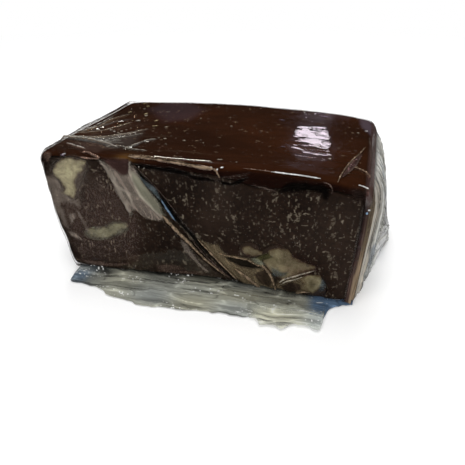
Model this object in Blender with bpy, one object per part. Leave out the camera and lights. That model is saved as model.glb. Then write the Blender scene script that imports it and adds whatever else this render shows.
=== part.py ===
"""A cut block of walnut chocolate fudge with a poured chocolate icing, wrapped in clear film.

Metres, +Z up. The origin is on the flat underside of the film, under the middle of the block
as it would be without its bulging left end. +X runs along the block, and -Y is the cut face
that shows the walnuts.
"""

import math

import bmesh
import bpy
from mathutils import Vector

MM = 0.001

# Driving dimensions
LENGTH = 108.6 * MM  # fudge, along X
DEPTH = 66.0 * MM  # fudge, along Y
CORNER_HEIGHT = 45.9 * MM  # top of the icing at its lowest corners
CROWN = 2.9 * MM  # how much higher the icing stands where it is thickest
CROWN_X = -7 * MM  # where that is, along the block
CROWN_REACH = 62 * MM  # how far from there the crown falls to nothing
CROWN_FLATNESS = 3.4  # the higher, the flatter its middle
FRONT_DROP = 0.6 * MM  # how much lower the icing is at the front than at the rear
GAP = 0.3 * MM  # between touching pieces
FILM = 0.4 * MM  # the film's layers, pressed together
BULGE = 3.4 * MM  # how far the upper front of the left end stands out
BULGE_START = -34 * MM  # along the block, from here to the left end
BULGE_WIDTH = 20 * MM
BULGE_HEIGHT = 24 * MM  # it grows from the table up to here

# Worked out from those
FLOOR_OF_FUDGE = FILM + GAP
HALF = LENGTH / 2
FRONT = -DEPTH / 2
REAR = DEPTH / 2
ICING_OVERHANG = 0.7 * MM
STATION_STEP = 3.0 * MM
ARC_STEPS = 3  # facets on each rounded corner

CUT_RADIUS = 0.7 * MM  # knife-cut edges of the fudge
FOOT_RADIUS = 1.2 * MM  # its lower edges, and its ends, pressed round by the film
ICING_RADIUS = 3.4 * MM  # the poured upper edges
ICING_END_RADIUS = 2.2 * MM
ICING_LIP_RADIUS = 0.5 * MM

# Underside of the icing along X: (x, z) in millimetres. It runs down the left corner.
ICING_UNDERSIDE = (
    (-55, 41.6), (-52, 45.2), (-46, 46.2), (-34, 46.0), (-22, 45.6), (-12, 44.8),
    (4, 44.6), (12, 43.4), (18, 42.0), (26, 41.4), (32, 43.0), (38, 42.4),
    (44, 43.2), (50, 41.9), (55, 41.8),
)  # fmt: skip
# How far the foot of the front face stands behind its top: (x, y) in millimetres.
FOOT_LINE = ((-55, -2.4), (-45, -3.0), (-27, -2.0), (-2, 0.3), (24, -0.1), (43, -2.0), (55, -1.2))

# Walnuts as the knife cut them: name, depth and outline (x, z) on the front face, in millimetres,
# before the left end bulges.
WALNUTS = {
    "walnut_top_left": (11, (
        (-51.6, 41.6), (-49.2, 44.2), (-45.8, 45.1), (-41.9, 44.9), (-40.5, 42.4), (-42.4, 40.2),
        (-43.7, 37.4), (-45.8, 34.2), (-47.2, 30.6), (-48.9, 29.9), (-50.0, 33.3), (-50.7, 37.4),
    )),
    "walnut_crescent": (7, (
        (-47.0, 16.2), (-43.5, 18.4), (-38.2, 19.6), (-33.8, 22.2), (-29.6, 22.1), (-29.1, 20.0),
        (-32.6, 17.3), (-37.3, 14.9), (-42.1, 13.8), (-45.8, 14.2),
    )),
    "walnut_chip": (5, (
        (14.4, 17.0), (16.6, 19.3), (19.8, 19.5), (21.4, 17.6), (20.2, 15.3), (17.2, 15.2),
    )),
    "walnut_large": (13, (
        (22.6, 15.4), (25.7, 19.3), (29.2, 20.3), (31.9, 18.9), (34.0, 15.9), (37.8, 15.0),
        (42.4, 12.8), (37.2, 10.8), (31.6, 8.0), (27.0, 8.4), (24.4, 11.4),
    )),
    "walnut_low_right": (9, (
        (35.8, 7.2), (39.4, 8.8), (43.2, 9.4), (45.8, 6.8), (46.2, 3.8), (43.4, 2.2), (38.6, 3.2),
    )),
}  # fmt: skip
WALNUT_FACETS = 26
WALNUT_LOBES = 5
LOBE_DEPTH = 0.07  # of the nut's width, at its deepest point
POCKET_MOUTH = 1.5 * MM  # how far the pocket's cutter stands out of the cut face
# Each step into the fudge: share of the depth, and how wide the nut is there.
WALNUT_SWELL = ((0.22, 1.05), (0.55, 0.96), (0.82, 0.66), (1.0, 0.3))

# Film ends, each station further out: x beyond the fudge, then y low, y high, z low, z high.
RIGHT_END = (
    (2.4, -32.4, 33.6, 0.0, 46.0), (5.4, -26.0, 31.5, 0.0, 40.5), (8.2, -15.5, 28.5, 0.0, 33.0),
    (10.4, -6.0, 25.5, 0.0, 22.0), (12.2, 2.0, 26.5, 0.0, 11.0), (14.2, 8.0, 27.5, 0.0, 3.6),
    (16.1, 14.0, 27.0, 0.0, 1.2),
)  # fmt: skip
LEFT_END = (
    (2.1, -32.6, 33.8, 0.0, 45.0), (3.0, -27.0, 31.0, 0.0, 42.0), (4.4, -16.0, 25.0, 0.0, 33.0),
)  # fmt: skip
END_SOFTNESS = 0.16  # radius of their upper corners, as a share of their height
# Loose edge of the film, flat on the table in front: (x, y) along it.
FRONT_TAIL = (
    (-51.5, -43.0), (-50, -46.2), (-44, -46.2), (-38, -47.4), (-32, -50.2), (-25, -51.6),
    (-18, -52.6), (-10, -52.5), (-2, -51.9), (8, -50.6), (16, -50.5), (22, -50.0), (25, -51.4),
    (27, -53.8), (29, -53.0), (32, -52.9), (34, -54.0), (36.5, -51.8), (40, -50.1), (43.5, -50.0),
    (46.4, -50.7), (47.2, -45.8), (48.2, -40.0), (50.0, -38.2), (52.5, -36.4),
)  # fmt: skip
TAIL_STEPS = 48
TAIL_THICKNESS = 1.5 * MM  # the crumpled layers
TAIL_FOOT = 1.3 * MM  # where they come out from under the block
TAIL_EDGE = 0.5 * MM
SEAM_Y = 14 * MM  # the film's two edges nearly meet here, under the block
SEAM_WIDTH = 1.2 * MM
SEAM_LENGTH = 88 * MM
SEAM_CUT = 1.6 * MM  # height of its cutter, half of it above the underside

# Base colour (linear) and roughness
FUDGE_LOOK = ((0.036, 0.022, 0.015), 0.75)
ICING_LOOK = ((0.028, 0.010, 0.005), 0.12)
WALNUT_LOOK = ((0.30, 0.26, 0.15), 0.6)
FILM_LOOK = ((0.62, 0.63, 0.60), 0.15)
FILM_ALPHA = 0.35


def clear_scene():
    """Start from an empty scene."""
    for thing in list(bpy.data.objects):
        bpy.data.objects.remove(thing, do_unlink=True)


def along(points, at):
    """Smooth curve through (place, value) points in millimetres, read at a place in metres."""
    at = min(max(at / MM, points[0][0]), points[-1][0])
    i = 0
    while i < len(points) - 2 and at > points[i + 1][0]:
        i += 1
    before, after = points[max(i - 1, 0)], points[min(i + 2, len(points) - 1)]
    (x0, y0), (x1, y1) = points[i], points[i + 1]
    width = x1 - x0
    slope_0 = (y1 - before[1]) / (x1 - before[0]) * width
    slope_1 = (after[1] - y0) / (after[0] - x0) * width
    t = (at - x0) / width
    value = (
        (2 * t**3 - 3 * t**2 + 1) * y0
        + (t**3 - 2 * t**2 + t) * slope_0
        + (3 * t**2 - 2 * t**3) * y1
        + (t**3 - t**2) * slope_1
    )
    return value * MM


def crown(x):
    """How far the icing's top stands above its lowest corners at x."""
    return CROWN * (1 - abs((x - CROWN_X) / CROWN_REACH) ** CROWN_FLATNESS)


def shoulder(x):
    """Radius of the icing's upper edges at x, smaller where it was poured thin."""
    return min(ICING_RADIUS, 0.6 * (CORNER_HEIGHT + crown(x) - along(ICING_UNDERSIDE, x)))


def foot(x, z):
    """How far the front face is behind its upper edge, which grows towards its foot."""
    return along(FOOT_LINE, x) * (1 - z / CORNER_HEIGHT)


def bulged(point):
    """The point, moved left as far as the left end bulges out there."""
    x, y, z = point
    near_end = min(max((BULGE_START - x) / BULGE_WIDTH, 0), 1) ** 2
    towards_front = 0.62 - 0.38 * math.sin(math.pi / 2 * min(max(y / REAR, -1), 1))
    upwards = 0.45 + 0.55 * min(z / BULGE_HEIGHT, 1)
    return (x - BULGE * near_end * towards_front * upwards, y, z)


def rounded(corners, radii):
    """Points (y, z) round a four-cornered outline, each corner rounded by its own radius."""
    points = []
    for i, corner in enumerate(corners):
        here = Vector(corner)
        back = (Vector(corners[i - 1]) - here).normalized() * radii[i]
        on = (Vector(corners[(i + 1) % 4]) - here).normalized() * radii[i]
        for step in range(ARC_STEPS + 1):
            angle = step / ARC_STEPS * math.pi / 2
            points.append(here + back * (1 - math.sin(angle)) + on * (1 - math.cos(angle)))
    return points


def even_places(half, step):
    """Even places along X from one end to the other."""
    count = round(2 * half / step)
    return [-half + 2 * half * i / count for i in range(count + 1)]


def stations(half, radius):
    """Places for a piece with rounded ends: (x, how far its outline is drawn in there)."""
    rounded_ends = []
    for angle in (math.pi / 4, math.pi / 2):
        rounded_ends.append((radius * (1 - math.sin(angle)), radius * (1 - math.cos(angle))))
    left = [(-half + near, drawn) for near, drawn in reversed(rounded_ends)]
    right = [(half - near, drawn) for near, drawn in rounded_ends]
    return left + [(x, 0.0) for x in even_places(half - radius, STATION_STEP)] + right


def icing_section(x, drawn):
    """The icing's outline across the block."""
    low = along(ICING_UNDERSIDE, x)
    high = CORNER_HEIGHT + crown(x) - drawn
    front = FRONT - ICING_OVERHANG + drawn
    rear = REAR + ICING_OVERHANG - drawn
    corners = ((front, low), (rear, low), (rear, high), (front, high - FRONT_DROP))
    return rounded(corners, (ICING_LIP_RADIUS, ICING_LIP_RADIUS, shoulder(x), shoulder(x)))


def fudge_section(x, drawn):
    """The fudge's outline across the block."""
    low = FLOOR_OF_FUDGE + drawn
    high = along(ICING_UNDERSIDE, x) - GAP
    corners = (
        (FRONT + foot(x, 0) + drawn, low),
        (REAR - drawn, low),
        (REAR - drawn, high),
        (FRONT + drawn, high),
    )
    return rounded(corners, (FOOT_RADIUS, FOOT_RADIUS, CUT_RADIUS, CUT_RADIUS))


def film_section(x, out):
    """The film's outline across the block, standing out from the chocolate by this much."""
    out += GAP
    low = FLOOR_OF_FUDGE - out
    high = CORNER_HEIGHT + crown(x) + out
    front = FRONT - ICING_OVERHANG - out
    corners = (
        (front + foot(x, 0), low),
        (REAR + ICING_OVERHANG + out, low),
        (REAR + ICING_OVERHANG + out, high),
        (front, high - FRONT_DROP),
    )
    upper = shoulder(x) + out
    return rounded(corners, (FOOT_RADIUS, FOOT_RADIUS, upper, upper))


def end_section(y_low, y_high, z_low, z_high):
    """One outline of the folded film that stands out at an end of the block."""
    corners = ((y_low, z_low), (y_high, z_low), (y_high, z_high), (y_low, z_high))
    corners = [(y * MM, z * MM) for y, z in corners]
    soft = END_SOFTNESS * (z_high - z_low) * MM
    return rounded(corners, (FILM, FILM, soft, soft))


def loft(name, sections):
    """A closed piece through sections, each one its 3-D points in the same order.

    Every piece is made for a straight block, and the left end's bulge is added here.
    """
    mesh = bmesh.new()
    rings = [[mesh.verts.new(bulged(point)) for point in points] for points in sections]
    mesh.faces.new(rings[0])
    mesh.faces.new(rings[-1])
    count = len(rings[0])
    for near, far in zip(rings, rings[1:]):
        for i in range(count):
            j = (i + 1) % count
            mesh.faces.new((near[i], near[j], far[j], far[i]))
    bmesh.ops.recalc_face_normals(mesh, faces=mesh.faces)
    data = bpy.data.meshes.new(name)
    mesh.to_mesh(data)
    mesh.free()
    piece = bpy.data.objects.new(name, data)
    bpy.context.scene.collection.objects.link(piece)
    return piece


def loft_along_x(name, places, section):
    """A piece whose outline across the block is section(x, drawn in)."""
    return loft(name, [[(x, *point) for point in section(x, drawn)] for x, drawn in places])


def boolean(piece, other, operation):
    """Join another piece to this one, or cut it away. The other one is a helper from now on."""
    modifier = piece.modifiers.new(other.name, "BOOLEAN")
    modifier.operation = operation
    modifier.object = other
    other.hide_render = True
    other.display_type = "WIRE"


def paint(piece, colour, roughness, alpha=1.0):
    """Give a piece its own Principled material, and shade it smooth up to its sharp edges."""
    material = bpy.data.materials.new(piece.name)
    material.use_nodes = True
    shader = material.node_tree.nodes["Principled BSDF"]
    shader.inputs["Base Color"].default_value = (*colour, 1)
    shader.inputs["Roughness"].default_value = roughness
    shader.inputs["Metallic"].default_value = 0.0
    shader.inputs["Alpha"].default_value = alpha
    piece.data.materials.append(material)
    piece.data.shade_smooth()
    piece.data.set_sharp_from_angle(angle=math.radians(40))


def nut_outline(outline):
    """Even points (x, z) on a smooth closed curve through a walnut's outline, in metres."""
    count = len(outline)
    points = []
    for facet in range(WALNUT_FACETS):
        place = facet / WALNUT_FACETS * count
        i, t = int(place), place % 1
        a, b, c, d = (Vector(outline[(i + k) % count]) for k in (-1, 0, 1, 2))
        bend = 2 * b + (c - a) * t + (2 * a - 5 * b + 4 * c - d) * t**2
        points.append((bend + (3 * b - a - 3 * c + d) * t**3) / 2 * MM)
    return points


def nut_sections(depth, outline, grow):
    """Sections of a walnut from the cut face into the fudge, each side grown by this much."""
    points = nut_outline(outline)
    centre = sum(points, Vector((0, 0))) / len(points)
    face_y = [FRONT + foot(p.x, p.y) for p in points]
    steps = ((0.0, 1.0), *WALNUT_SWELL)
    sections = []
    for share, width in steps:
        section = []
        for i, point in enumerate(points):
            out = point - centre
            turn = i / len(points) * math.tau
            lobe = 1 + LOBE_DEPTH * share * math.sin(WALNUT_LOBES * turn)
            place = centre + out * width * lobe + out.normalized() * grow
            section.append((place.x, face_y[i] + share * (depth * MM + grow), place.y))
        sections.append(section)
    if grow:
        mouth = [(x, y - POCKET_MOUTH, z) for x, y, z in sections[0]]
        sections.insert(0, mouth)
    return sections


def make_walnuts(fudge):
    """The walnut pieces, flush with the cut face, each in a pocket of its own in the fudge."""
    for name, (depth, outline) in WALNUTS.items():
        nut = loft(name, nut_sections(depth, outline, 0.0))
        paint(nut, *WALNUT_LOOK)
        boolean(fudge, loft(name + "_pocket", nut_sections(depth, outline, GAP)), "DIFFERENCE")


def make_fudge():
    """The cut block of fudge."""
    fudge = loft_along_x("fudge_block", stations(HALF, FOOT_RADIUS), fudge_section)
    paint(fudge, *FUDGE_LOOK)
    make_walnuts(fudge)


def make_icing():
    """The poured icing, over the whole top and a little past the sides."""
    half = HALF + ICING_OVERHANG
    icing = loft_along_x("chocolate_icing", stations(half, ICING_END_RADIUS), icing_section)
    paint(icing, *ICING_LOOK)


def film_sections(out):
    """Sections of the film along the block, standing out from the chocolate by this much."""
    half = HALF + ICING_OVERHANG + GAP + out
    places = even_places(half, 2 * STATION_STEP)
    return [[(x, *point) for point in film_section(x, out)] for x in places]


def folded_end(side, stations_out):
    """Sections of the folded film beyond one end, from the block outwards."""
    sections = []
    for beyond, *outline in stations_out:
        x = side * (HALF + beyond * MM)
        sections.append([(x, *point) for point in end_section(*outline)])
    return sections


def film_outer():
    """Outer skin of the film, with its folded ends."""
    left = folded_end(-1, LEFT_END)
    left.reverse()
    return loft("film_wrap", left + film_sections(FILM) + folded_end(1, RIGHT_END))


def tail_profile(inner, outer):
    """Section of the film's loose edge: (y, z)."""
    crest = (inner + 2 * outer) / 3
    return (
        (inner, 0.0),
        (outer, 0.0),
        (outer, TAIL_EDGE),
        (crest, TAIL_THICKNESS),
        (inner, TAIL_FOOT),
    )


def make_tail():
    """The film's crumpled loose edge along the front, just clear of the wrapped block."""
    first, last = FRONT_TAIL[0][0] * MM, FRONT_TAIL[-1][0] * MM
    sections = []
    for i in range(TAIL_STEPS + 1):
        x = first + (last - first) * i / TAIL_STEPS
        inner = FRONT - ICING_OVERHANG - FILM - 2 * GAP + foot(x, 0)
        outer = min(along(FRONT_TAIL, x), inner - TAIL_EDGE)
        sections.append([(x, y, z) for y, z in tail_profile(inner, outer)])
    tail = loft("film_loose_edge", sections)
    paint(tail, *FILM_LOOK, alpha=FILM_ALPHA)


def seam():
    """The unsealed slit where the film's two edges meet under the block."""
    bpy.ops.mesh.primitive_cube_add(size=1, location=(0, SEAM_Y, 0))
    cutter = bpy.context.object
    cutter.name = "film_seam"
    for vertex in cutter.data.vertices:
        vertex.co.x *= SEAM_LENGTH
        vertex.co.y *= SEAM_WIDTH
        vertex.co.z *= SEAM_CUT
    return cutter


def make_film():
    """The film: a skin round the block, its folded ends, and its seam underneath."""
    film = film_outer()
    boolean(film, loft("film_hollow", film_sections(0.0)), "DIFFERENCE")
    boolean(film, seam(), "DIFFERENCE")
    paint(film, *FILM_LOOK, alpha=FILM_ALPHA)


clear_scene()
make_fudge()
make_icing()
make_film()
make_tail()
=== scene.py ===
"""Looks of a wrapped block of walnut chocolate fudge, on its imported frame.

A maker's view of the object: a knife-cut block of dark fudge with walnut pieces in its cut face,
a poured and glossy icing over its top, and one piece of clear film round it all, pulled tight at
the front, gathered at both ends and crumpled on the table in front. Metres, +Z up, the origin on
the film's flat underside; numbers in tables are millimetres.
"""

import logging
import math
from dataclasses import dataclass, field
from enum import Enum

import bpy
import numpy as np
from mathutils import Matrix, Vector
from mathutils.bvhtree import BVHTree
from mathutils.kdtree import KDTree


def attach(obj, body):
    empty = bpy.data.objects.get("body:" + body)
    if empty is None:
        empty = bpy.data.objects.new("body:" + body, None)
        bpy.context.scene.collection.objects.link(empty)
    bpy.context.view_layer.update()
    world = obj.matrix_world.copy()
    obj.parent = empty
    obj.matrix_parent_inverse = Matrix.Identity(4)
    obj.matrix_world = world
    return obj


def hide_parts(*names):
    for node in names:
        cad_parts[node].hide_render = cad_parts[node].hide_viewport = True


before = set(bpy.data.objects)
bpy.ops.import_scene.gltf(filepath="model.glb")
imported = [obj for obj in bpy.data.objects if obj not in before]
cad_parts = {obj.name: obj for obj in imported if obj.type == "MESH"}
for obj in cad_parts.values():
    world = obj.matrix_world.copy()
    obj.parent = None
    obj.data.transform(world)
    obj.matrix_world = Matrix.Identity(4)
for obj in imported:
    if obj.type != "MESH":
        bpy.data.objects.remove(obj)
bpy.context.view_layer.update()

MM = 0.001
BODY = "root"
LOG = logging.getLogger("chocolate_fudge")

Point = tuple[float, ...]
Colour = tuple[float, float, float]


class Slot(Enum):
    """The record's material slots."""

    FUDGE = "fudge"
    ICING = "icing"
    WALNUT = "walnut"
    FILM = "film"


# ---------------------------------------------------------------------------------------------
# Smooth random values, for what the hand and the film do by chance
# ---------------------------------------------------------------------------------------------


def lattice(x: np.ndarray, y: np.ndarray, z: np.ndarray, seed: int) -> np.ndarray:
    """Random values from -1 to 1 at whole-numbered places.

    Args:
        x: First coordinate of each place.
        y: Second coordinate.
        z: Third coordinate.
        seed: Picks one set of values.

    Returns:
        One value for each place.
    """
    mixed = (x * 374761393 + y * 668265263 + z * 1274126177 + seed * 144665) & 0xFFFFFFFF
    mixed = ((mixed ^ (mixed >> 13)) * 1274126177) & 0xFFFFFFFF
    mixed = mixed ^ (mixed >> 16)
    return mixed / 0x7FFFFFFF - 1


def noise(points: np.ndarray, size: float | Point, seed: int = 0) -> np.ndarray:
    """Smooth random values.

    Args:
        points: Places, with three coordinates each along the last axis.
        size: How far apart its hills are, or one such size for each axis.
        seed: Picks one pattern.

    Returns:
        Values from -1 to 1, one for each place.
    """
    place = points / np.asarray(size)
    whole = np.floor(place)
    part = place - whole
    part = part**3 * (part * (part * 6 - 15) + 10)
    whole = whole.astype(np.int64)
    total = np.zeros(points.shape[:-1])
    for corner in range(8):
        step = np.array((corner & 1, corner >> 1 & 1, corner >> 2))
        weight = np.prod(np.where(step, part, 1 - part), axis=-1)
        at = whole + step
        total += weight * lattice(at[..., 0], at[..., 1], at[..., 2], seed)
    return total


def layered(points: np.ndarray, size: float | Point, seed: int = 0, layers: int = 3) -> np.ndarray:
    """Smooth random values with finer ones on top.

    Args:
        points: Places, with three coordinates each along the last axis.
        size: Size of the largest hills.
        seed: Picks one pattern.
        layers: How many times finer hills are added.

    Returns:
        Values from about -1 to 1.
    """
    total = np.zeros(points.shape[:-1])
    for layer in range(layers):
        total += 0.5**layer * noise(points, np.asarray(size) / 2**layer, seed + layer)
    return total / (2 - 0.5 ** (layers - 1))


def creased(points: np.ndarray, size: float | Point, seed: int = 0, layers: int = 2) -> np.ndarray:
    """Sharp winding crests, as where film is crumpled.

    Args:
        points: Places, with three coordinates each along the last axis.
        size: How far apart the crests are.
        seed: Picks one pattern.
        layers: How many times finer crests are added.

    Returns:
        Values from 0 to 1, and 1 on a crest.
    """
    total = np.zeros(points.shape[:-1])
    weight = 0.0
    for layer in range(layers):
        crest = 1 - np.minimum(np.abs(noise(points, np.asarray(size) / 2**layer, seed + layer)) * 2.2, 1)
        total += 0.55**layer * crest
        weight += 0.55**layer
    return total / weight


def ramp(values: np.ndarray, start: float, end: float) -> np.ndarray:
    """Smooth step from 0 at start to 1 at end."""
    share = np.clip((values - start) / (end - start), 0, 1)
    return share * share * (3 - 2 * share)


def along(points: tuple[Point, ...], at: np.ndarray) -> np.ndarray:
    """Smooth curve through points.

    Args:
        points: (place, value) pairs in rising order of place.
        at: Where to read the curve.

    Returns:
        The value at each place.
    """
    places, values = np.array(points, float).T
    at = np.clip(np.asarray(at, float), places[0], places[-1])
    i = np.clip(np.searchsorted(places, at, side="right") - 1, 0, len(places) - 2)
    before, after = np.maximum(i - 1, 0), np.minimum(i + 2, len(places) - 1)
    width = places[i + 1] - places[i]
    leaving = (values[i + 1] - values[before]) / (places[i + 1] - places[before]) * width
    arriving = (values[after] - values[i]) / (places[after] - places[i]) * width
    t = (at - places[i]) / width
    return (
        (2 * t**3 - 3 * t**2 + 1) * values[i]
        + (t**3 - 2 * t**2 + t) * leaving
        + (3 * t**2 - 2 * t**3) * values[i + 1]
        + (t**3 - t**2) * arriving
    )


# ---------------------------------------------------------------------------------------------
# Materials
# ---------------------------------------------------------------------------------------------


class Value:
    """A number that varies over a surface, on which sums can be written."""

    def __init__(self, graph: "Graph", socket: bpy.types.NodeSocket) -> None:
        """Wrap one output of a node."""
        self.graph = graph
        self.socket = socket

    def _sum(self, operation: str, *terms: object) -> "Value":
        """One Math node on these terms."""
        return self.graph.node("ShaderNodeMath", {"operation": operation}, dict(enumerate(terms)))

    def __add__(self, other: object) -> "Value":
        """Sum."""
        return self._sum("ADD", self, other)

    def __sub__(self, other: object) -> "Value":
        """Difference."""
        return self._sum("SUBTRACT", self, other)

    def __rsub__(self, other: object) -> "Value":
        """Difference from a number."""
        return self._sum("SUBTRACT", other, self)

    def __mul__(self, other: object) -> "Value":
        """Product."""
        return self._sum("MULTIPLY", self, other)

    def __truediv__(self, other: object) -> "Value":
        """Quotient."""
        return self._sum("DIVIDE", self, other)

    def __rtruediv__(self, other: object) -> "Value":
        """A number divided by this."""
        return self._sum("DIVIDE", other, self)

    def __pow__(self, other: object) -> "Value":
        """Power."""
        return self._sum("POWER", self, other)

    __radd__ = __add__
    __rmul__ = __mul__

    def limited(self, low: float = 0.0, high: float = 1.0) -> "Value":
        """Kept between low and high."""
        return self._sum("MAXIMUM", self._sum("MINIMUM", self, high), low)

    def step(self, start: float, end: float) -> "Value":
        """Smooth step from 0 where this is start to 1 where it is end."""
        settings = {"interpolation_type": "SMOOTHSTEP"}
        return self.graph.node("ShaderNodeMapRange", settings, {0: self, 1: start, 2: end})


class Graph:
    """The nodes of one material, round one Principled shader."""

    def __init__(self, name: str) -> None:
        """Start a material."""
        self.material = bpy.data.materials.new(name)
        self.material.use_nodes = True
        self.tree = self.material.node_tree
        self.shader = self.tree.nodes["Principled BSDF"]

    def node(self, kind: str, settings: dict | None = None, values: dict | None = None, output: int | str = 0) -> Value:
        """Add any node.

        Args:
            kind: The node's type.
            settings: Its settings, which are set first. "stops" are a ramp's (place, colour) pairs.
            values: A number, a colour, a vector or a Value for each socket, by name or number.
            output: Which output is wanted.

        Returns:
            That output.
        """
        made = self.tree.nodes.new(kind)
        for name, setting in (settings or {}).items():
            if name == "stops":
                for i, (place, colour) in enumerate(setting):
                    elements = made.color_ramp.elements
                    stop = elements[i] if i < 2 else elements.new(place)
                    stop.position, stop.color = place, (*colour, 1)
            else:
                setattr(made, name, setting)
        for name, value in (values or {}).items():
            self.feed(made.inputs[name], value)
        return Value(self, made.outputs[output])

    def feed(self, socket: bpy.types.NodeSocket, value: object) -> None:
        """Link a Value to a socket, or set it to a number, a colour or a vector."""
        if isinstance(value, Value):
            self.tree.links.new(value.socket, socket)
        elif isinstance(value, tuple) and len(value) < len(getattr(socket, "default_value", value)):
            socket.default_value = (*value, 1)
        else:
            socket.default_value = value

    def place(self, scale: Point = (1, 1, 1), turn: Point = (0, 0, 0)) -> Value:
        """Object coordinates, stretched and turned by a Mapping node."""
        here = self.node("ShaderNodeTexCoord", output="Object")
        return self.node("ShaderNodeMapping", values={"Vector": here, "Scale": scale, "Rotation": turn})

    def clouds(self, scale: float, detail: float = 3.0, stretch: Point = (1, 1, 1), rough: float = 0.5, twist: float = 0.0) -> Value:
        """Noise of about 0.5 all over, from 0 to 1, with this many hills to a metre."""
        values = {"Vector": self.place(stretch), "Scale": scale, "Detail": detail, "Roughness": rough, "Distortion": twist}
        return self.node("ShaderNodeTexNoise", {}, values)

    def cells(self, scale: float, feature: str = "F1", stretch: Point = (1, 1, 1), output: str = "Distance", vector: Value | None = None) -> Value:
        """Cells, with this many to a metre."""
        values = {"Vector": vector or self.place(stretch), "Scale": scale}
        return self.node("ShaderNodeTexVoronoi", {"feature": feature}, values, output)

    def attribute(self, name: str, output: str = "Fac") -> Value:
        """A value stored on the piece."""
        return self.node("ShaderNodeAttribute", {"attribute_name": name}, output=output)

    def blend(self, first: object, second: object, share: object, way: str = "MIX") -> Value:
        """A colour between two, or one laid on the other."""
        settings = {"data_type": "RGBA", "blend_type": way, "clamp_factor": True}
        return self.node("ShaderNodeMix", settings, {0: share, 6: first, 7: second}, 2)

    def bump(self, height: Value, distance: float, strength: float = 1.0, normal: Value | None = None) -> Value:
        """Fine relief."""
        values = {"Height": height, "Distance": distance, "Strength": strength}
        if normal:
            values["Normal"] = normal
        return self.node("ShaderNodeBump", {}, values)

    def finish(self, **values: object) -> bpy.types.Material:
        """Feed the Principled shader: its socket names, with _ for a space."""
        for name, value in values.items():
            self.feed(self.shader.inputs[name.replace("_", " ")], value)
        return self.material


@dataclass(frozen=True)
class FudgeFinish:
    """Dark, dense fudge as a knife leaves it, with small light flecks."""

    dark: Colour = (0.0085, 0.0040, 0.0024)
    light: Colour = (0.0265, 0.0135, 0.0080)
    fleck: Colour = (0.250, 0.208, 0.150)
    smear: Colour = (0.075, 0.050, 0.036)

    def _flecks(self, g: Graph, scale: float, stretch: Point, radius: float, share: float) -> Value:
        """Scattered small marks.

        Args:
            g: The material's nodes.
            scale: Cells to a metre.
            stretch: Scale of each axis, smaller where the marks run longer.
            radius: Of a mark, in cells.
            share: How many of the cells hold one, from 0 to 1.

        Returns:
            1 on a mark and 0 elsewhere.
        """
        bend = g.node("ShaderNodeTexNoise", {}, {"Vector": g.place(), "Scale": scale * 1.3, "Detail": 2.0}, "Color")
        place = g.node("ShaderNodeVectorMath", {"operation": "MULTIPLY_ADD"}, {0: bend, 1: (1.1 / scale,) * 3, 2: g.place(stretch)})
        values = {"Vector": place, "Scale": scale}
        near = g.node("ShaderNodeTexVoronoi", {"distance": "CHEBYCHEV"}, values)
        chosen = g.node("ShaderNodeTexVoronoi", {"distance": "CHEBYCHEV"}, values, "Color")
        parts = g.node("ShaderNodeSeparateColor", {}, {0: chosen}, "Red")
        bright = g.node("ShaderNodeSeparateColor", {}, {0: chosen}, "Green")
        return near.step(radius * 1.2, radius * 0.85) * parts.step(1 - share, 1 - share + 0.04) * (bright * 0.75 + 0.25)

    def material(self) -> bpy.types.Material:
        """Build the material."""
        g = Graph("fudge_cut")
        grain = g.clouds(820, 4, rough=0.66)
        broad = g.clouds(60, 3)
        body = g.blend(self.dark, self.light, (grain * 0.9 + broad * 0.5 - 0.22).step(0.28, 0.74))
        where = g.clouds(48, 2, twist=0.5).step(0.30, 0.60) * 0.65 + 0.35
        dots = self._flecks(g, 900, (1.0, 1.0, 0.8), 0.26, 0.42)
        upright = self._flecks(g, 560, (1.5, 1.0, 0.55), 0.20, 0.34)
        lying = self._flecks(g, 500, (0.5, 1.0, 1.7), 0.17, 0.28)
        flakes = self._flecks(g, 270, (1.3, 1.0, 0.85), 0.24, 0.26)
        torn = g.clouds(700, 3, rough=0.6).step(0.40, 0.56)
        marks = (dots * 0.7 + upright * 1.0 + lying * 0.95) * where + flakes * torn * 0.9
        body = g.blend(body, self.fleck, (marks * 0.70).limited())
        film = g.clouds(30, 3, stretch=(1, 1, 0.7), twist=0.8).step(0.50, 0.74)
        body = g.blend(body, self.smear, film * 0.22)
        relief = grain * 0.5 + g.clouds(1600, 2) * 0.3
        return g.finish(
            Base_Color=body,
            Roughness=(grain * 0.35 + 0.45).limited(0.35, 0.9),
            Normal=g.bump(relief, 0.00022, 0.5),
            Specular_IOR_Level=0.12,
        )


@dataclass(frozen=True)
class IcingFinish:
    """Poured dark chocolate, set with a shine."""

    deep: Colour = (0.0185, 0.0055, 0.0018)
    warm: Colour = (0.0430, 0.0125, 0.0038)
    # The amber colour is a painted glow of light shining through the thin icing at its front left edge.
    amber: Colour = (0.110, 0.052, 0.012)
    # Painted shade: the icing's front face, below its top edge, is drawn darker in this colour.
    shade: Colour = (0.0090, 0.0026, 0.0014)

    def material(self) -> bpy.types.Material:
        """Build the material."""
        g = Graph("icing_poured")
        broad = g.clouds(24, 3, stretch=(0.6, 1, 1), twist=0.5)
        fine = g.clouds(260, 3, stretch=(0.35, 1, 1))
        body = g.blend(self.deep, self.warm, (broad * 0.9 + fine * 0.35 - 0.15).step(0.25, 0.80))
        body = g.blend(body, self.shade, g.attribute("side"))
        body = g.blend(body, self.amber, g.attribute("amber"))
        relief = broad * 0.6 + fine * 0.15
        return g.finish(
            Base_Color=body,
            Roughness=(fine * 0.2 + 0.12).limited(0.1, 0.4),
            Normal=g.bump(relief, 0.0004, 0.2),
            Specular_IOR_Level=0.04,
        )


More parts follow.
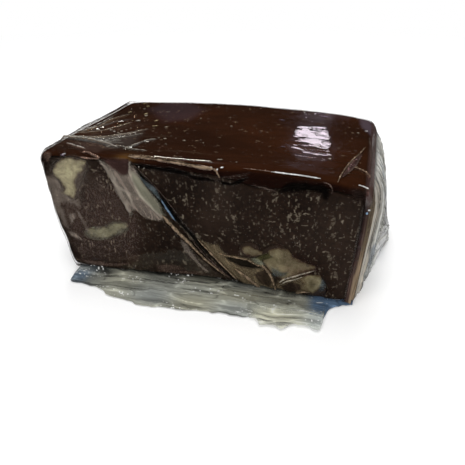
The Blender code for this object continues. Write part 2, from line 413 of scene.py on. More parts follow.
@dataclass(frozen=True)
class WalnutFinish:
    """Walnut kernel, cut through: pale flesh, brown skin, and smeared fudge round it."""

    pale: Colour = (0.62, 0.57, 0.34)
    oily: Colour = (0.29, 0.26, 0.145)
    dull_pale: Colour = (0.180, 0.143, 0.078)
    dull_oily: Colour = (0.085, 0.066, 0.033)
    skin: Colour = (0.075, 0.048, 0.026)
    bruise: Colour = (0.070, 0.074, 0.066)
    fudge: Colour = (0.030, 0.0180, 0.0120)
    fleck: Colour = (0.110, 0.088, 0.062)

    def material(self) -> bpy.types.Material:
        """Build the material."""
        g = Graph("walnut_cut")
        soft = g.clouds(240, 4, rough=0.62, twist=0.6)
        fine = g.clouds(1000, 3, rough=0.6)
        tone = (soft * 0.9 + fine * 0.35 - 0.12).step(0.30, 0.70)
        body = g.blend(g.blend(self.dull_oily, self.dull_pale, tone), g.blend(self.oily, self.pale, tone), g.attribute("pale"))
        spots = g.clouds(170, 3, twist=1.0).step(0.58, 0.70) * (1 - g.attribute("pale"))
        body = g.blend(body, self.bruise, spots * 0.7)
        body = g.blend(body, self.skin, (g.attribute("skin") * (0.45 + fine * 0.8)).limited())
        around = g.blend(self.fudge, self.fleck, fine.step(0.60, 0.70) * 0.8)
        body = g.blend(around, body, g.attribute("flesh"))
        return g.finish(
            Base_Color=body,
            Roughness=(soft * 0.3 + 0.35).limited(),
            Normal=g.bump(soft * 0.6 + fine * 0.3, 0.0006, 0.7),
            Specular_IOR_Level=0.15,
        )


@dataclass(frozen=True)
class FilmFinish:
    """Clear film. Where it is folded or stands off what it wraps, it looks milky; its dark tints are painted shade and
    its white ones painted highlights.

    Attributes:
        name: The material's name.
        face_on: How much of the light a flat stretch reflects.
        streak: How strongly fine crinkles change the haze.
        crinkle: Depth of the fine crinkles.
        along: Stretch of the crinkles, smaller where they run longer.
        fineness: How many crinkles there are to a metre.
    """

    name: str = "film_tight"
    face_on: float = 0.055
    streak: float = 0.22
    crinkle: float = 0.00016
    along: Point = (0.35, 1.0, 1.0)
    fineness: float = 420.0
    shine: float = 0.035

    def material(self) -> bpy.types.Material:
        """Build the material."""
        g = Graph(self.name)
        facing = g.node("ShaderNodeLayerWeight", values={"Blend": 0.5}, output="Facing")
        deep = g.attribute("tint").limited(0.001, 1)
        gloss = (facing**5 * (1 - self.face_on) + self.face_on) * ((deep * 20).limited() * 0.8 + 0.2)
        fine = g.clouds(self.fineness, 4, self.along, 0.62, 0.3)
        broad = g.clouds(self.fineness / 4, 3, self.along, 0.5, 0.6)
        ridges = 1 - (fine - 0.5).limited(-1, 1) ** 2 * 24
        haze = (g.attribute("haze") * (1 - self.streak / 2 + ridges.limited() * self.streak * 0.5 + (broad - 0.5) * self.streak)).limited()
        solid = (gloss + haze * (1 - gloss)).limited(0.01, 1)
        milk = haze * (1 - gloss) * deep
        mirror = (gloss / (gloss + milk)).limited()
        share = (gloss + milk) / (solid * deep)
        colour = g.node("ShaderNodeVectorMath", {"operation": "SCALE"}, {0: g.attribute("tint", "Color"), "Scale": share})
        colour = g.node("ShaderNodeVectorMath", {"operation": "MINIMUM"}, {0: colour, 1: (1.0, 1.0, 1.0)})
        return g.finish(
            Base_Color=colour,
            Metallic=mirror,
            Roughness=(haze * 0.12 + self.shine).limited(0.03, 0.6),
            Alpha=solid,
            Normal=g.bump((broad * 1.6 + fine) * g.attribute("crinkle"), self.crinkle, 0.8),
            Specular_IOR_Level=0.0,
        )


# ---------------------------------------------------------------------------------------------
# Ways of making pieces
# ---------------------------------------------------------------------------------------------


def only(*pieces: bpy.types.Object) -> None:
    """Select these objects and nothing else, the last one active."""
    bpy.ops.object.select_all(action="DESELECT")
    for piece in pieces:
        piece.select_set(True)
        bpy.context.view_layer.objects.active = piece


def edit(piece: bpy.types.Object, *steps: tuple[str, dict]) -> None:
    """Run edit-mode mesh operators on the whole of a piece.

    Args:
        piece: The piece.
        steps: (operator's name in bpy.ops.mesh, its arguments) pairs.
    """
    only(piece)
    bpy.ops.object.mode_set(mode="EDIT")
    bpy.ops.mesh.select_all(action="SELECT")
    for name, values in steps:
        getattr(bpy.ops.mesh, name)(**values)
    bpy.ops.object.mode_set(mode="OBJECT")


def modify(piece: bpy.types.Object, kind: str, **settings: object) -> None:
    """Add a modifier with these settings, and apply it."""
    only(piece)
    modifier = piece.modifiers.new(kind.lower(), kind)
    for name, value in settings.items():
        setattr(modifier, name, value)
    bpy.ops.object.modifier_apply(modifier=modifier.name)


def rough_up(piece: bpy.types.Object, size: float, height: float, name: str) -> None:
    """Push a piece's surface in and out by random hills.

    Args:
        piece: The piece.
        size: How far apart the hills are.
        height: From the lowest to the highest.
        name: The pattern's name.
    """
    texture = bpy.data.textures.new(name, "CLOUDS")
    texture.noise_scale = size
    texture.noise_depth = 2
    modify(piece, "DISPLACE", texture=texture, strength=height, mid_level=0.5, texture_coords="LOCAL")


def copy_of(node: str, name: str) -> bpy.types.Object:
    """A copy of a CAD node as one merged mesh."""
    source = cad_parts[node]
    piece = bpy.data.objects.new(name, source.data.copy())
    piece.data.materials.clear()
    bpy.context.scene.collection.objects.link(piece)
    edit(piece, ("remove_doubles", {"threshold": 1e-6}), ("normals_make_consistent", {"inside": False}))
    return piece


def read(piece: bpy.types.Object) -> np.ndarray:
    """The places of a piece's vertices."""
    flat = np.empty(len(piece.data.vertices) * 3)
    piece.data.vertices.foreach_get("co", flat)
    return flat.reshape(-1, 3)


def write(piece: bpy.types.Object, points: np.ndarray) -> None:
    """Move a piece's vertices."""
    piece.data.vertices.foreach_set("co", np.ascontiguousarray(points, float).ravel())
    piece.data.update()


def store(piece: bpy.types.Object, name: str, values: np.ndarray) -> None:
    """Keep a number or a colour on each vertex, for the material to read."""
    if values.ndim == 1:
        made = piece.data.attributes.new(name, "FLOAT", "POINT")
        made.data.foreach_set("value", values.astype(np.float32))
    else:
        made = piece.data.attributes.new(name, "FLOAT_COLOR", "POINT")
        full = np.concatenate([values, np.ones((len(values), 1))], axis=1)
        made.data.foreach_set("color", full.astype(np.float32).ravel())


def sheet(name: str, rows: int, columns: int) -> tuple[bpy.types.Object, np.ndarray]:
    """Add a flat grid, to be laid in place.

    Args:
        name: The piece's name.
        rows: Vertices one way.
        columns: Vertices the other way.

    Returns:
        The piece, and the number of the vertex at each row and column.
    """
    bpy.ops.object.select_all(action="DESELECT")
    bpy.ops.mesh.primitive_grid_add(x_subdivisions=columns - 1, y_subdivisions=rows - 1, size=1)
    piece = bpy.context.object
    piece.name = piece.data.name = name
    flat = read(piece)
    order = np.lexsort((flat[:, 0].round(7), flat[:, 1].round(7)))
    return piece, order.reshape(rows, columns)


def laid(name: str, points: np.ndarray, haze: np.ndarray, tint: np.ndarray, crinkle: np.ndarray | float = 1.0) -> bpy.types.Object:
    """Lay a sheet of film.

    Args:
        name: The piece's name.
        points: Its grid of places.
        haze: How milky it is at each.
        tint: The haze's colour at each.
        crinkle: How crinkled it is at each.

    Returns:
        The sheet, open and without thickness.
    """
    piece, order = sheet(name, *points.shape[:2])
    places = np.empty((order.size, 3))
    places[order.ravel()] = points.reshape(-1, 3)
    write(piece, places)
    for key, values in (("haze", haze), ("tint", tint), ("crinkle", np.ones(order.shape) * crinkle)):
        values = values.reshape(order.size, -1)
        in_order = np.empty_like(values)
        in_order[order.ravel()] = values
        store(piece, key, in_order[:, 0] if values.shape[1] == 1 else in_order)
    return piece


def done(piece: bpy.types.Object, slot: Slot, material: bpy.types.Material, *nodes: str) -> bpy.types.Object:
    """Dress a piece, give it its body, and say which CAD nodes it stands for."""
    piece.data.materials.clear()
    piece.data.materials.append(material)
    only(piece)
    bpy.ops.object.shade_smooth()
    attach(piece, BODY)
    if nodes:
        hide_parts(*nodes)
    LOG.info("%s: %d faces", piece.name, len(piece.data.polygons))
    return piece


# ---------------------------------------------------------------------------------------------
# The chocolate
# ---------------------------------------------------------------------------------------------


@dataclass
class FudgeBlock:
    """The cut block of fudge, with the hollows its walnuts sit in."""

    cell: float = 0.62 * MM
    finish: FudgeFinish = field(default_factory=FudgeFinish)

    def build(self) -> bpy.types.Object:
        """Model and dress it."""
        piece = copy_of("fudge_block", "fudge_body")
        modify(piece, "REMESH", mode="VOXEL", voxel_size=self.cell, use_smooth_shade=True)
        rough_up(piece, 7 * MM, 0.35 * MM, "cut_waves")
        rough_up(piece, 1.4 * MM, 0.14 * MM, "cut_grain")
        write(piece, Block.leaned(read(piece) / MM) * MM)
        return done(piece, Slot.FUDGE, self.finish.material(), "fudge_block")


@dataclass
class Icing:
    """The poured icing."""

    cell: float = 0.6 * MM
    finish: IcingFinish = field(default_factory=IcingFinish)
    amber_at: tuple[Point, ...] = ((-25.6, -34.0, 47.4),)

    def build(self) -> bpy.types.Object:
        """Model and dress it."""
        piece = copy_of("chocolate_icing", "icing_poured")
        modify(piece, "REMESH", mode="VOXEL", voxel_size=self.cell, use_smooth_shade=True)
        modify(piece, "SMOOTH", factor=0.5, iterations=4)
        rough_up(piece, 16 * MM, 0.5 * MM, "icing_waves")
        rough_up(piece, 3 * MM, 0.08 * MM, "icing_ripple")
        write(piece, Block.leaned(read(piece) / MM) * MM)
        points = read(piece)
        # A painted glow where light shines through the thin icing at its front left edge.
        amber = np.zeros(len(points))
        for place in self.amber_at:
            away = (points - np.array(place) * MM) / (np.array((3.0, 4.0, 0.9)) * MM)
            amber = np.maximum(amber, np.exp(-(away**2).sum(axis=1)))
        store(piece, "amber", amber)
        # Painted shade on the icing's front face, below its wavy top edge.
        under = Block.top(points[:, 0] / MM) - Block.front_drop - points[:, 2] / MM
        wavy = 1.3 + 0.5 * noise(points / MM, 9.0, 3)
        store(piece, "side", ramp(under - wavy, -0.6, 0.8) * ramp(-points[:, 1] / MM, 30, 33) * (1 - amber))
        return done(piece, Slot.ICING, self.finish.material(), "chocolate_icing")


@dataclass(frozen=True)
class Kernel:
    """A walnut piece in the cut face.

    Attributes:
        name: Its CAD node.
        pale: How pale its flesh is at its heart, and at its rim.
        outline: (x, z) round what shows of it.
    """

    name: str
    pale: tuple[float, float]
    outline: tuple[Point, ...]


@dataclass
class Walnuts:
    """The walnut pieces in the cut face."""

    cell: float = 0.3 * MM
    grow: float = 0.32 * MM
    proud: float = 0.25
    depth: float = 2.6
    kernels: tuple[Kernel, ...] = (
        Kernel("walnut_top_left", (1.0, 0.55), (
            (-55.4, 40.6), (-53.2, 43), (-50.6, 45.1), (-47.3, 45.9), (-44.2, 45.4), (-40.7, 45.2), (-42.5, 42.2),
            (-45.2, 39), (-46.9, 36.9), (-47.1, 33.8), (-48.8, 30.1), (-51.6, 30.9), (-54.4, 31.4), (-51.8, 33.7),
            (-52.2, 35.2), (-53.5, 37), (-55.6, 38.3))),
        Kernel("walnut_crescent", (0.6, 0.42), (
            (-46.3, 17.6), (-44.4, 18.7), (-40.6, 19.1), (-37.1, 20.2), (-34.8, 21.6), (-31, 22.5), (-28.7, 22),
            (-29.4, 19.9), (-32.4, 19), (-34.7, 17), (-37.9, 15.3), (-41.4, 14.5), (-44.6, 15.2))),
        Kernel("walnut_chip", (0.35, 0.2), (
            (15.1, 16.2), (16, 17.9), (17.9, 18.8), (19.7, 18.2), (20.8, 17.6), (22.7, 16.8), (22.9, 15.8),
            (21.2, 14.6), (19.6, 14.1), (17.9, 14.5), (16, 14.9))),
        Kernel("walnut_large", (0.28, 0.1), (
            (24.9, 17), (26.3, 18.9), (29.1, 19.8), (31.9, 19.1), (33.7, 17.8), (34, 16.6), (37.6, 15.5), (39.4, 14.8),
            (42.5, 14.2), (41.3, 13.1), (38.3, 11.4), (35.5, 9.2), (33, 7.3), (30.8, 6.2), (28.5, 7), (26.2, 8.3),
            (24.7, 10.2), (22.9, 12.5), (23.5, 14.1))),
        Kernel("walnut_low_right", (0.0, 0.25), (
            (37, 8.4), (40.5, 10.6), (44.2, 11), (45, 9.2), (45.1, 6.5), (43.3, 4.6), (42.1, 2.7), (39.7, 3.8),
            (37.4, 2.4), (34.9, 2), (37.3, 4.9), (39, 6.4))),
    )  # fmt: skip
    finish: WalnutFinish = field(default_factory=WalnutFinish)

    def _slab(self, kernel: Kernel) -> bpy.types.Object:
        """A slab of the shape that shows, let into the cut face."""
        bpy.ops.object.select_all(action="DESELECT")
        bpy.ops.mesh.primitive_circle_add(vertices=len(kernel.outline), radius=1, fill_type="NGON")
        slab = bpy.context.object
        x, z = np.array(kernel.outline, float).T
        write(slab, np.stack([x, Block.front - self.proud + Block.foot(x, z) + self.depth / 2, z], -1) * MM)
        modify(slab, "SOLIDIFY", thickness=self.depth * MM, offset=0.0)
        edit(slab, ("quads_convert_to_tris", {}), ("normals_make_consistent", {"inside": False}))
        return slab

    def build(self) -> list[bpy.types.Object]:
        """Model and dress them."""
        material = self.finish.material()
        pieces = []
        for kernel in self.kernels:
            piece = copy_of(kernel.name, kernel.name.replace("walnut", "kernel"))
            modify(piece, "DISPLACE", strength=self.grow, mid_level=0.0)
            only(self._slab(kernel), piece)
            bpy.ops.object.join()
            modify(piece, "REMESH", mode="VOXEL", voxel_size=self.cell, use_smooth_shade=True)
            rough_up(piece, 1.6 * MM, 0.5 * MM, kernel.name + "_lobes")
            rough_up(piece, 0.7 * MM, 0.2 * MM, kernel.name + "_grain")
            points = read(piece) / MM
            foot = Block.foot(points[:, 0], points[:, 2])
            points[:, 1] = np.maximum(points[:, 1], Block.front - self.proud + foot + 0.12 * noise(points, 1.5, 9))
            write(piece, points * MM)
            face = points[:, (0, 2)] + np.stack([layered(points, 1.6, 5, 3), layered(points, 1.6, 6, 3)], -1) * 0.8
            depth = inside(face, np.array(kernel.outline, float))
            store(piece, "flesh", ramp(depth, -0.25, 0.15))
            store(piece, "skin", ramp(depth, 0.9, 0.1))
            heart = ramp(depth, 0.2, 2.4)
            store(piece, "pale", kernel.pale[1] + (kernel.pale[0] - kernel.pale[1]) * heart)
            pieces.append(done(piece, Slot.WALNUT, material, kernel.name))
        return pieces


class Block:
    """The block's main shape, as the CAD has it, for what lies over it. Millimetres."""

    half: float = 54.3
    front: float = -33.0
    rear: float = 33.0
    corner_height: float = 45.9
    crown_height: float = 2.9
    crown_x: float = -7.0
    crown_reach: float = 62.0
    front_drop: float = 0.6
    overhang: float = 0.7
    left_line: tuple[Point, ...] = ((0, -1.6), (2, -0.6), (5, 0.0), (12, 0.4), (17, 1.5), (22, 2.0), (30, 2.2), (42, 2.0), (48, 1.3))
    right_line: tuple[Point, ...] = ((0, 0.3), (8, 0.8), (16, 1.2), (26, 1.6), (34, 1.8), (42, 1.8), (48, 1.5))
    foot_line: tuple[Point, ...] = ((-55, -2.4), (-45, -3.0), (-27, -2.0), (-2, 0.3), (24, -0.1), (43, -2.0), (55, -1.2))

    @classmethod
    def top(cls, x: np.ndarray) -> np.ndarray:
        """Height of the icing's top at x."""
        return cls.corner_height + cls.crown_height * (1 - np.abs((x - cls.crown_x) / cls.crown_reach) ** 3.4)

    @classmethod
    def foot(cls, x: np.ndarray, z: np.ndarray) -> np.ndarray:
        """How far the front face is behind its upper edge."""
        return along(cls.foot_line, x) * (1 - z / cls.corner_height)

    @classmethod
    def fuller(cls, y: np.ndarray, z: np.ndarray) -> np.ndarray:
        """How far the right end stands out, more so at the rear."""
        return along(cls.right_line, z) * (0.65 + 0.35 * np.clip((y + 34) / 60, 0, 1))

    @classmethod
    def bulged(cls, points: np.ndarray) -> np.ndarray:
        """The points, moved left as far as the left end bulges out there."""
        x, y, z = points[..., 0], points[..., 1], points[..., 2]
        near_end = np.clip((-34 - x) / 20, 0, 1) ** 2
        towards_front = 0.62 - 0.38 * np.sin(np.pi / 2 * np.clip(y / cls.rear, -1, 1))
        upwards = 0.45 + 0.55 * np.minimum(z / 24, 1)
        moved = points.copy()
        moved[..., 0] = x - 3.4 * near_end * towards_front * upwards
        return moved

    @classmethod
    def leaned(cls, points: np.ndarray) -> np.ndarray:
        """The points, with both ends fuller above, the left foot drawn in and the top higher at the rear."""
        x, y, z = points[..., 0], points[..., 1], points[..., 2]
        moved = points.copy()
        moved[..., 0] -= ramp(-x, 44, 57) * along(cls.left_line, z)
        moved[..., 0] += ramp(x, 42, 55) * cls.fuller(y, z)
        moved[..., 2] += 1.2 * np.clip((y + 30) / 62, 0, 1) * np.clip(1 - ((x - 12) / 56) ** 2, 0, 1) * np.clip(z / 46, 0, 1)
        return moved


# ---------------------------------------------------------------------------------------------
# The film
# ---------------------------------------------------------------------------------------------


class Tint(Enum):
    """Colours of the film's haze. Most are the milky film's own tints; those noted below paint light and shade onto it.
    """

    CLEAR = (0.200, 0.180, 0.160)
    MILK = (0.240, 0.245, 0.175)
    MAUVE = (0.155, 0.108, 0.090)
    PEARL = (0.250, 0.205, 0.170)
    KHAKI = (0.165, 0.126, 0.078)
    ROSE = (0.135, 0.092, 0.074)
    PINK = (0.250, 0.160, 0.120)
    # painted sheen
    LILAC = (0.190, 0.150, 0.190)
    OLIVE = (0.055, 0.052, 0.022)
    # painted dark reflection
    SLATE = (0.070, 0.085, 0.090)
    TAN = (0.305, 0.222, 0.150)
    CREAM = (0.500, 0.450, 0.370)
    DUSK = (0.058, 0.031, 0.027)
    # painted shade, brown-black
    SOOT = (0.016, 0.010, 0.008)
    # painted shade
    BLACK = (0.0035, 0.0028, 0.0024)
    GREY = (0.330, 0.330, 0.310)
    PALE = (0.620, 0.590, 0.530)
    # painted glints
    STRAW = (0.480, 0.400, 0.230)
    BLUE = (0.070, 0.115, 0.180)
    # painted glint
    STEEL = (0.240, 0.360, 0.500)
    # painted highlights
    WHITE = (0.900, 0.900, 0.880)


class Side(Enum):
    """Which side of the block a table of points lies on, and so what its numbers are."""

    FRONT = "x, z"
    TOP = "x, y"


@dataclass(frozen=True)
class Crease:
    """A wrinkle of the tight film.

    Attributes:
        side: Which side of the block it lies on.
        line: Where it runs.
        width: Half its width.
        lift: How far its crest stands up, or sinks if negative.
        haze: How milky it is at its crest.
        tint: The haze's colour.
        fade: Whether it thins out towards its ends.
        loose: How much it wanders; a taut one runs straight.
    """

    side: Side
    line: tuple[Point, ...]
    width: float
    lift: float = 0.0
    haze: float = 0.0
    tint: Tint = Tint.CLEAR
    fade: bool = True
    loose: float = 1.0


@dataclass(frozen=True)
class Patch:
    """A patch of film: milky where it stands off what it wraps; dark ones are painted shade, lilac ones painted sheen.

    Attributes:
        side: Which side of the block it lies on.
        outline: Its corners, in order.
        edge: How softly it starts.
        lift: How far it stands off.
        haze: How milky it is.
        tint: The haze's colour.
        loose: How much its outline wanders.
    """

    side: Side
    outline: tuple[Point, ...]
    edge: float
    lift: float = 0.0
    haze: float = 0.0
    tint: Tint = Tint.CLEAR
    loose: float = 1.0


@dataclass(frozen=True)
class Fold:
    """A fold of film that lies on the skin.

    Attributes:
        name: What it is called.
        side: Which side of the block it lies on.
        line: Where it runs.
        width: Its width at its start, its middle and its end.
        lift: How far its middle stands up.
        haze: How milky it is.
        core: Its colour along its middle.
        rim: Its colour along its edges.
    """

    name: str
    side: Side
    line: tuple[Point, ...]
    width: tuple[float, float, float]
    lift: float
    haze: float
    core: Tint
    rim: Tint


def to_line(places: np.ndarray, line: np.ndarray) -> tuple[np.ndarray, np.ndarray]:
    """How far places are from a line of points.

    Args:
        places: Two coordinates each along the last axis.
        line: The line's points.

    Returns:
        The distance, and the share of the line's length at the nearest point.
    """
    steps = np.diff(line, axis=0)
    lengths = np.hypot(*steps.T)
    gone = np.concatenate([[0], np.cumsum(lengths)])
    nearest = np.full(places.shape[:-1], np.inf)
    share = np.zeros(places.shape[:-1])
    for start, step, length, before in zip(line, steps, lengths, gone):
        t = np.clip(((places - start) @ step) / length**2, 0, 1)
        away = np.linalg.norm(places - (start + t[..., None] * step), axis=-1)
        closer = away < nearest
        nearest = np.where(closer, away, nearest)
        share = np.where(closer, (before + t * length) / gone[-1], share)
    return nearest, share


def inside(places: np.ndarray, outline: np.ndarray) -> np.ndarray:
    """How far places are inside a closed outline, and negative outside it."""
    closed = np.concatenate([outline, outline[:1]])
    away, _ = to_line(places, closed)
    crossings = np.zeros(places.shape[:-1], int)
    for (x0, y0), (x1, y1) in zip(closed, closed[1:]):
        if y0 == y1:
            continue
        between = (places[..., 1] > min(y0, y1)) & (places[..., 1] <= max(y0, y1))
        at = x0 + (places[..., 1] - y0) / (y1 - y0) * (x1 - x0)
        crossings += between & (places[..., 0] < at)
    return np.where(crossings % 2, away, -away)


F, T = Side.FRONT, Side.TOP
PATCHES = (
    # the film tented between the icing's edge and the fudge, left of the long fold
    Patch(F, ((-35.4, 46.2), (-31.6, 44.6), (-27.1, 41.7), (-24.8, 42), (-23.5, 46.2), (-22.1, 44.8), (-18.7, 38.2), (-14.6, 31.3), (-13.5, 26.7), (-15.3, 24.8), (-18.5, 25.2), (-21.7, 25.9), (-24.4, 28.8), (-26.7, 26.7), (-28.2, 29.9), (-30.8, 34.2), (-32.4, 40)), 0.4, 0.5, 0.62, Tint.PEARL, 0.6),
    Patch(F, ((-23.3, 43.4), (-21, 41.6), (-18.7, 38), (-14.6, 31.3), (-13.7, 27.4), (-17.9, 30.3), (-21.4, 34.4), (-23.4, 39.8)), 0.8, 0.3, 0.60, Tint.MILK, 0.4),
    Patch(F, ((-34.7, 46.1), (-33.5, 45.5), (-31.2, 40.4), (-28.4, 35.6), (-26.6, 30.5), (-25.6, 26.4), (-26.8, 26), (-29, 32.4), (-31.4, 38.6)), 0.6, 0.6, 0.35, Tint.CREAM, 0.8),
    Patch(F, ((-33.4, 46.9), (-31.3, 43.9), (-27.1, 41.6), (-24.8, 42.1), (-23.9, 45.6), (-24, 47.4)), 0.5, -0.1, 0.80, Tint.DUSK),
    # over the walnut at the upper left, and the corner beside it
    Patch(F, ((-56, 39), (-53.6, 44), (-46, 46.2), (-40.4, 45.4), (-42, 39), (-45.4, 33), (-46, 28), (-52, 27.6), (-56, 30)), 2.0, 0.0, 0.24, Tint.PEARL),
    Patch(F, ((-59.4, 38.8), (-55.7, 37.9), (-53.5, 37), (-52.5, 34), (-54.9, 31.3), (-56.4, 22), (-58.4, 24), (-59.6, 33)), 1.2, 0.0, 0.40, Tint.PEARL),
    Patch(F, ((-57, 30), (-48, 30), (-36, 42), (-28, 31), (-24, 20), (-28, 8), (-50, 4)), 3.5, 0.0, 0.22, Tint.MAUVE),
    # over the crescent
    Patch(F, ((-47.2, 17), (-43.5, 19.2), (-38.2, 20), (-33.8, 22.6), (-29, 22.8), (-28.6, 20), (-32.4, 17.6), (-37.3, 14.8), (-42.1, 13.9), (-46, 14.6)), 0.7, 0.15, 0.30, Tint.MILK),
    Patch(F, ((-52.8, 24), (-49.4, 24), (-50.6, 21.6), (-52.2, 19.6)), 0.5, 0.1, 0.62, Tint.PEARL),
    Patch(F, ((-56.6, 34), (-52.6, 31.4), (-49.4, 30.4), (-47, 26.8), (-49.4, 28), (-52.6, 28.8), (-56.2, 27)), 0.9, 0.1, 0.42, Tint.PEARL),
    Patch(F, ((-57, 30), (-55.2, 27), (-53.6, 17), (-55.6, 19.4)), 0.8, 0.0, 0.45, Tint.PEARL),
    Patch(F, ((-54.6, 15.8), (-50.8, 15.8), (-48.4, 12.6), (-52, 13.6)), 0.6, 0.1, 0.60, Tint.PEARL),
    Patch(F, ((-48.4, 25.2), (-47.1, 24.2), (-45.8, 19.6), (-43.9, 16.6), (-46.2, 17.6)), 0.5, 0.1, 0.50, Tint.PEARL),
    Patch(F, ((-19, 5.1), (-15.6, 5.6), (-10.9, 5.4), (-8.3, 4.4), (-12.4, 3.6), (-17.3, 2.5)), 0.5, 0.0, 0.50, Tint.ROSE),
    Patch(F, ((-8.1, 17.5), (-6, 16.3), (-4.3, 12.8), (-1.4, 7.8), (2.3, 4.1), (0.6, 3.8), (-3.4, 8.3), (-6.9, 12.5)), 0.3, 0.2, 0.55, Tint.PEARL, 0.5),
    # tented over the walnuts at the lower right
    Patch(F, ((-1.3, 19), (3.1, 17.1), (6.3, 17.6), (7.5, 15.3), (9.3, 13.2), (12.5, 13.4), (17.3, 13.1), (19.8, 11.8), (23, 11), (25, 9.2), (26.4, 7), (27.6, 3.6), (28.4, 0.6), (20.8, 0.6), (16.9, 0.8), (13, 3.3), (5.4, 11.2)), 0.4, 0.35, 0.72, Tint.KHAKI, 0.7),
    # the long fold, drawn taut from the icing to the foot; its black bands are painted shade
    Patch(F, ((-23.4, 46.5), (-20.5, 43.2), (-17.2, 39.9), (-12.4, 34.1), (-9.7, 30.1), (-6.5, 24.7), (-1.3, 19), (5.4, 10.5), (12.3, 2.6), (14.6, 0.4), (11, 2.8), (5.9, 8.3), (0.3, 14.1), (-4.9, 20.7), (-8.4, 24.5), (-11.8, 28.2), (-13.9, 31.3), (-18.7, 38.2), (-22.1, 44.8)), 0.22, 0.5, 0.94, Tint.BLACK, 0.15),
    Patch(F, ((-14, 25), (-11, 21.4), (-6.6, 17.4), (-7.6, 19.4), (-11.4, 23.6)), 0.4, -0.1, 0.85, Tint.BLACK, 0.3),
    # beside and over the walnuts at the lower right: the black and brown-black patches are painted shade, the slate
    # ones painted dark reflections
    Patch(F, ((8, 12.4), (11.9, 12.6), (17, 12.4), (20.8, 10.9), (23, 9.7), (18.9, 8.8), (14.4, 9), (10.6, 10.6)), 0.25, -0.4, 0.97, Tint.BLACK, 0.4),
    Patch(F, ((19.8, 6.5), (22, 8.4), (23.9, 10), (25.2, 7.9), (26.6, 4.4), (26.3, 1.8), (22.7, 2.7), (20.8, 4.3)), 0.35, 0.0, 0.88, Tint.SOOT, 0.6),
    Patch(F, ((19.8, 13.2), (22.9, 15.7), (25, 17.1), (26.6, 15.4), (24.7, 14.3), (22.6, 13), (21.4, 12.6)), 0.3, 0.0, 0.85, Tint.OLIVE, 0.6),
    Patch(F, ((18.6, 13.1), (20.5, 13.7), (22.7, 12.9), (24.2, 11.6), (22, 10.7), (19.7, 11.7)), 0.4, 0.2, 0.60, Tint.MILK),
    Patch(F, ((24, 13), (26, 18), (29.2, 19.6), (34, 16.6), (42, 13.8), (36, 9.6), (30, 6), (25.5, 9)), 1.2, 0.0, 0.08, Tint.DUSK),
    Patch(F, ((29, 20), (34, 17.5), (43, 14), (37, 9.2), (31.5, 9.4), (30, 14)), 2.0, 0.0, 0.25, Tint.DUSK),
    Patch(F, ((26.2, 10.8), (29.6, 9.5), (32.4, 9.5), (29.7, 7.1), (27, 7.2)), 0.6, 0.0, 0.50, Tint.SLATE),
    Patch(F, ((28, 3), (30, 6.6), (34, 9), (38.4, 9.6), (40, 6), (38, 2.6), (34.6, 0.8), (30, 0.8)), 0.6, 0.1, 0.50, Tint.KHAKI),
    Patch(F, ((30.1, 3.3), (33.5, 6.4), (36.6, 6), (37.9, 4.1), (35, 1.8), (31.2, 1.5)), 0.4, 0.0, 0.90, Tint.SOOT),
    Patch(F, ((44.8, 9.6), (46.2, 7.8), (46, 5), (44.9, 4.8), (44.6, 7.6)), 0.5, 0.0, 0.55, Tint.SLATE),
    Patch(F, ((15, 16.4), (18, 18.6), (22, 17.4), (22, 15.2), (18, 14.3)), 0.7, 0.0, 0.25, Tint.DUSK),
    # under the icing's lower edge: the dark patches are painted shade under its overhang
    Patch(F, ((-57.4, 46.2), (-55.4, 47.6), (-54.2, 46.2), (-55.6, 44)), 0.6, 0.3, 0.45, Tint.PINK),
    Patch(F, ((-60.4, 38.8), (-59.6, 43), (-57.8, 46), (-55.6, 47), (-54.6, 45.6), (-56.6, 42.6), (-57.6, 39)), 0.9, 0.0, 0.80, Tint.SOOT),
    Patch(F, ((-22.6, 46), (-15, 45.8), (-8, 45.6), (-1, 44), (6, 43), (6, 41.9), (-1, 42.5), (-8, 43.8), (-15, 44.6), (-21, 44.4)), 0.4, 0.0, 0.92, Tint.BLACK),
    Patch(F, ((7, 43.4), (9.5, 42.6), (12.2, 42.4), (15, 43.9), (17.4, 45), (15.4, 42.6), (12, 41.2), (9, 41.6)), 0.35, 0.0, 0.95, Tint.BLACK),
    Patch(F, ((26.2, 41.2), (28.6, 41.9), (30.4, 44), (33, 45), (37.5, 44.8), (41.7, 45.2), (43.6, 44.2), (44.3, 42.2), (43.6, 39.8), (42.4, 40.2), (41.8, 41.7), (38.6, 42.8), (34.5, 41.9), (30, 41.2)), 0.9, 0.0, 0.92, Tint.BLACK),
    Patch(F, ((51, 44.8), (55.4, 44.6), (56.2, 40.4), (53.4, 39.8), (51.2, 41.4)), 0.9, 0.0, 0.82, Tint.SOOT),
    Patch(F, ((55.2, 27), (56.2, 27), (55.7, 15), (54.8, 15)), 0.35, -0.2, 0.92, Tint.BLACK),
    # haze on top; the lilac patches are painted sheen
    Patch(T, ((-55, -20), (-45, -22.4), (-32, -28), (-27, -24), (-30, -12), (-36, -17), (-46, -20)), 2.4, 0.12, 0.06, Tint.GREY),
    Patch(T, ((-53, -25), (-45, -23.5), (-33, -28.4), (-36, -32), (-44, -31.6)), 1.4, 0.1, 0.16, Tint.MAUVE),
    Patch(T, ((-41, 21), (-37, 30.6), (-26, 31), (-15, 21), (-17, 8), (-26, 3)), 3.0, 0.0, 0.09, Tint.LILAC),
    Patch(T, ((32.6, 30), (47, 31), (46, 26), (36, 25)), 1.6, 0.0, 0.07, Tint.LILAC),
    Patch(T, ((50.3, 29.4), (54.4, 30), (57, 24), (57.2, 14), (55.4, 13.4), (52.1, 20.3)), 1.2, 0.0, 0.30, Tint.LILAC),
)
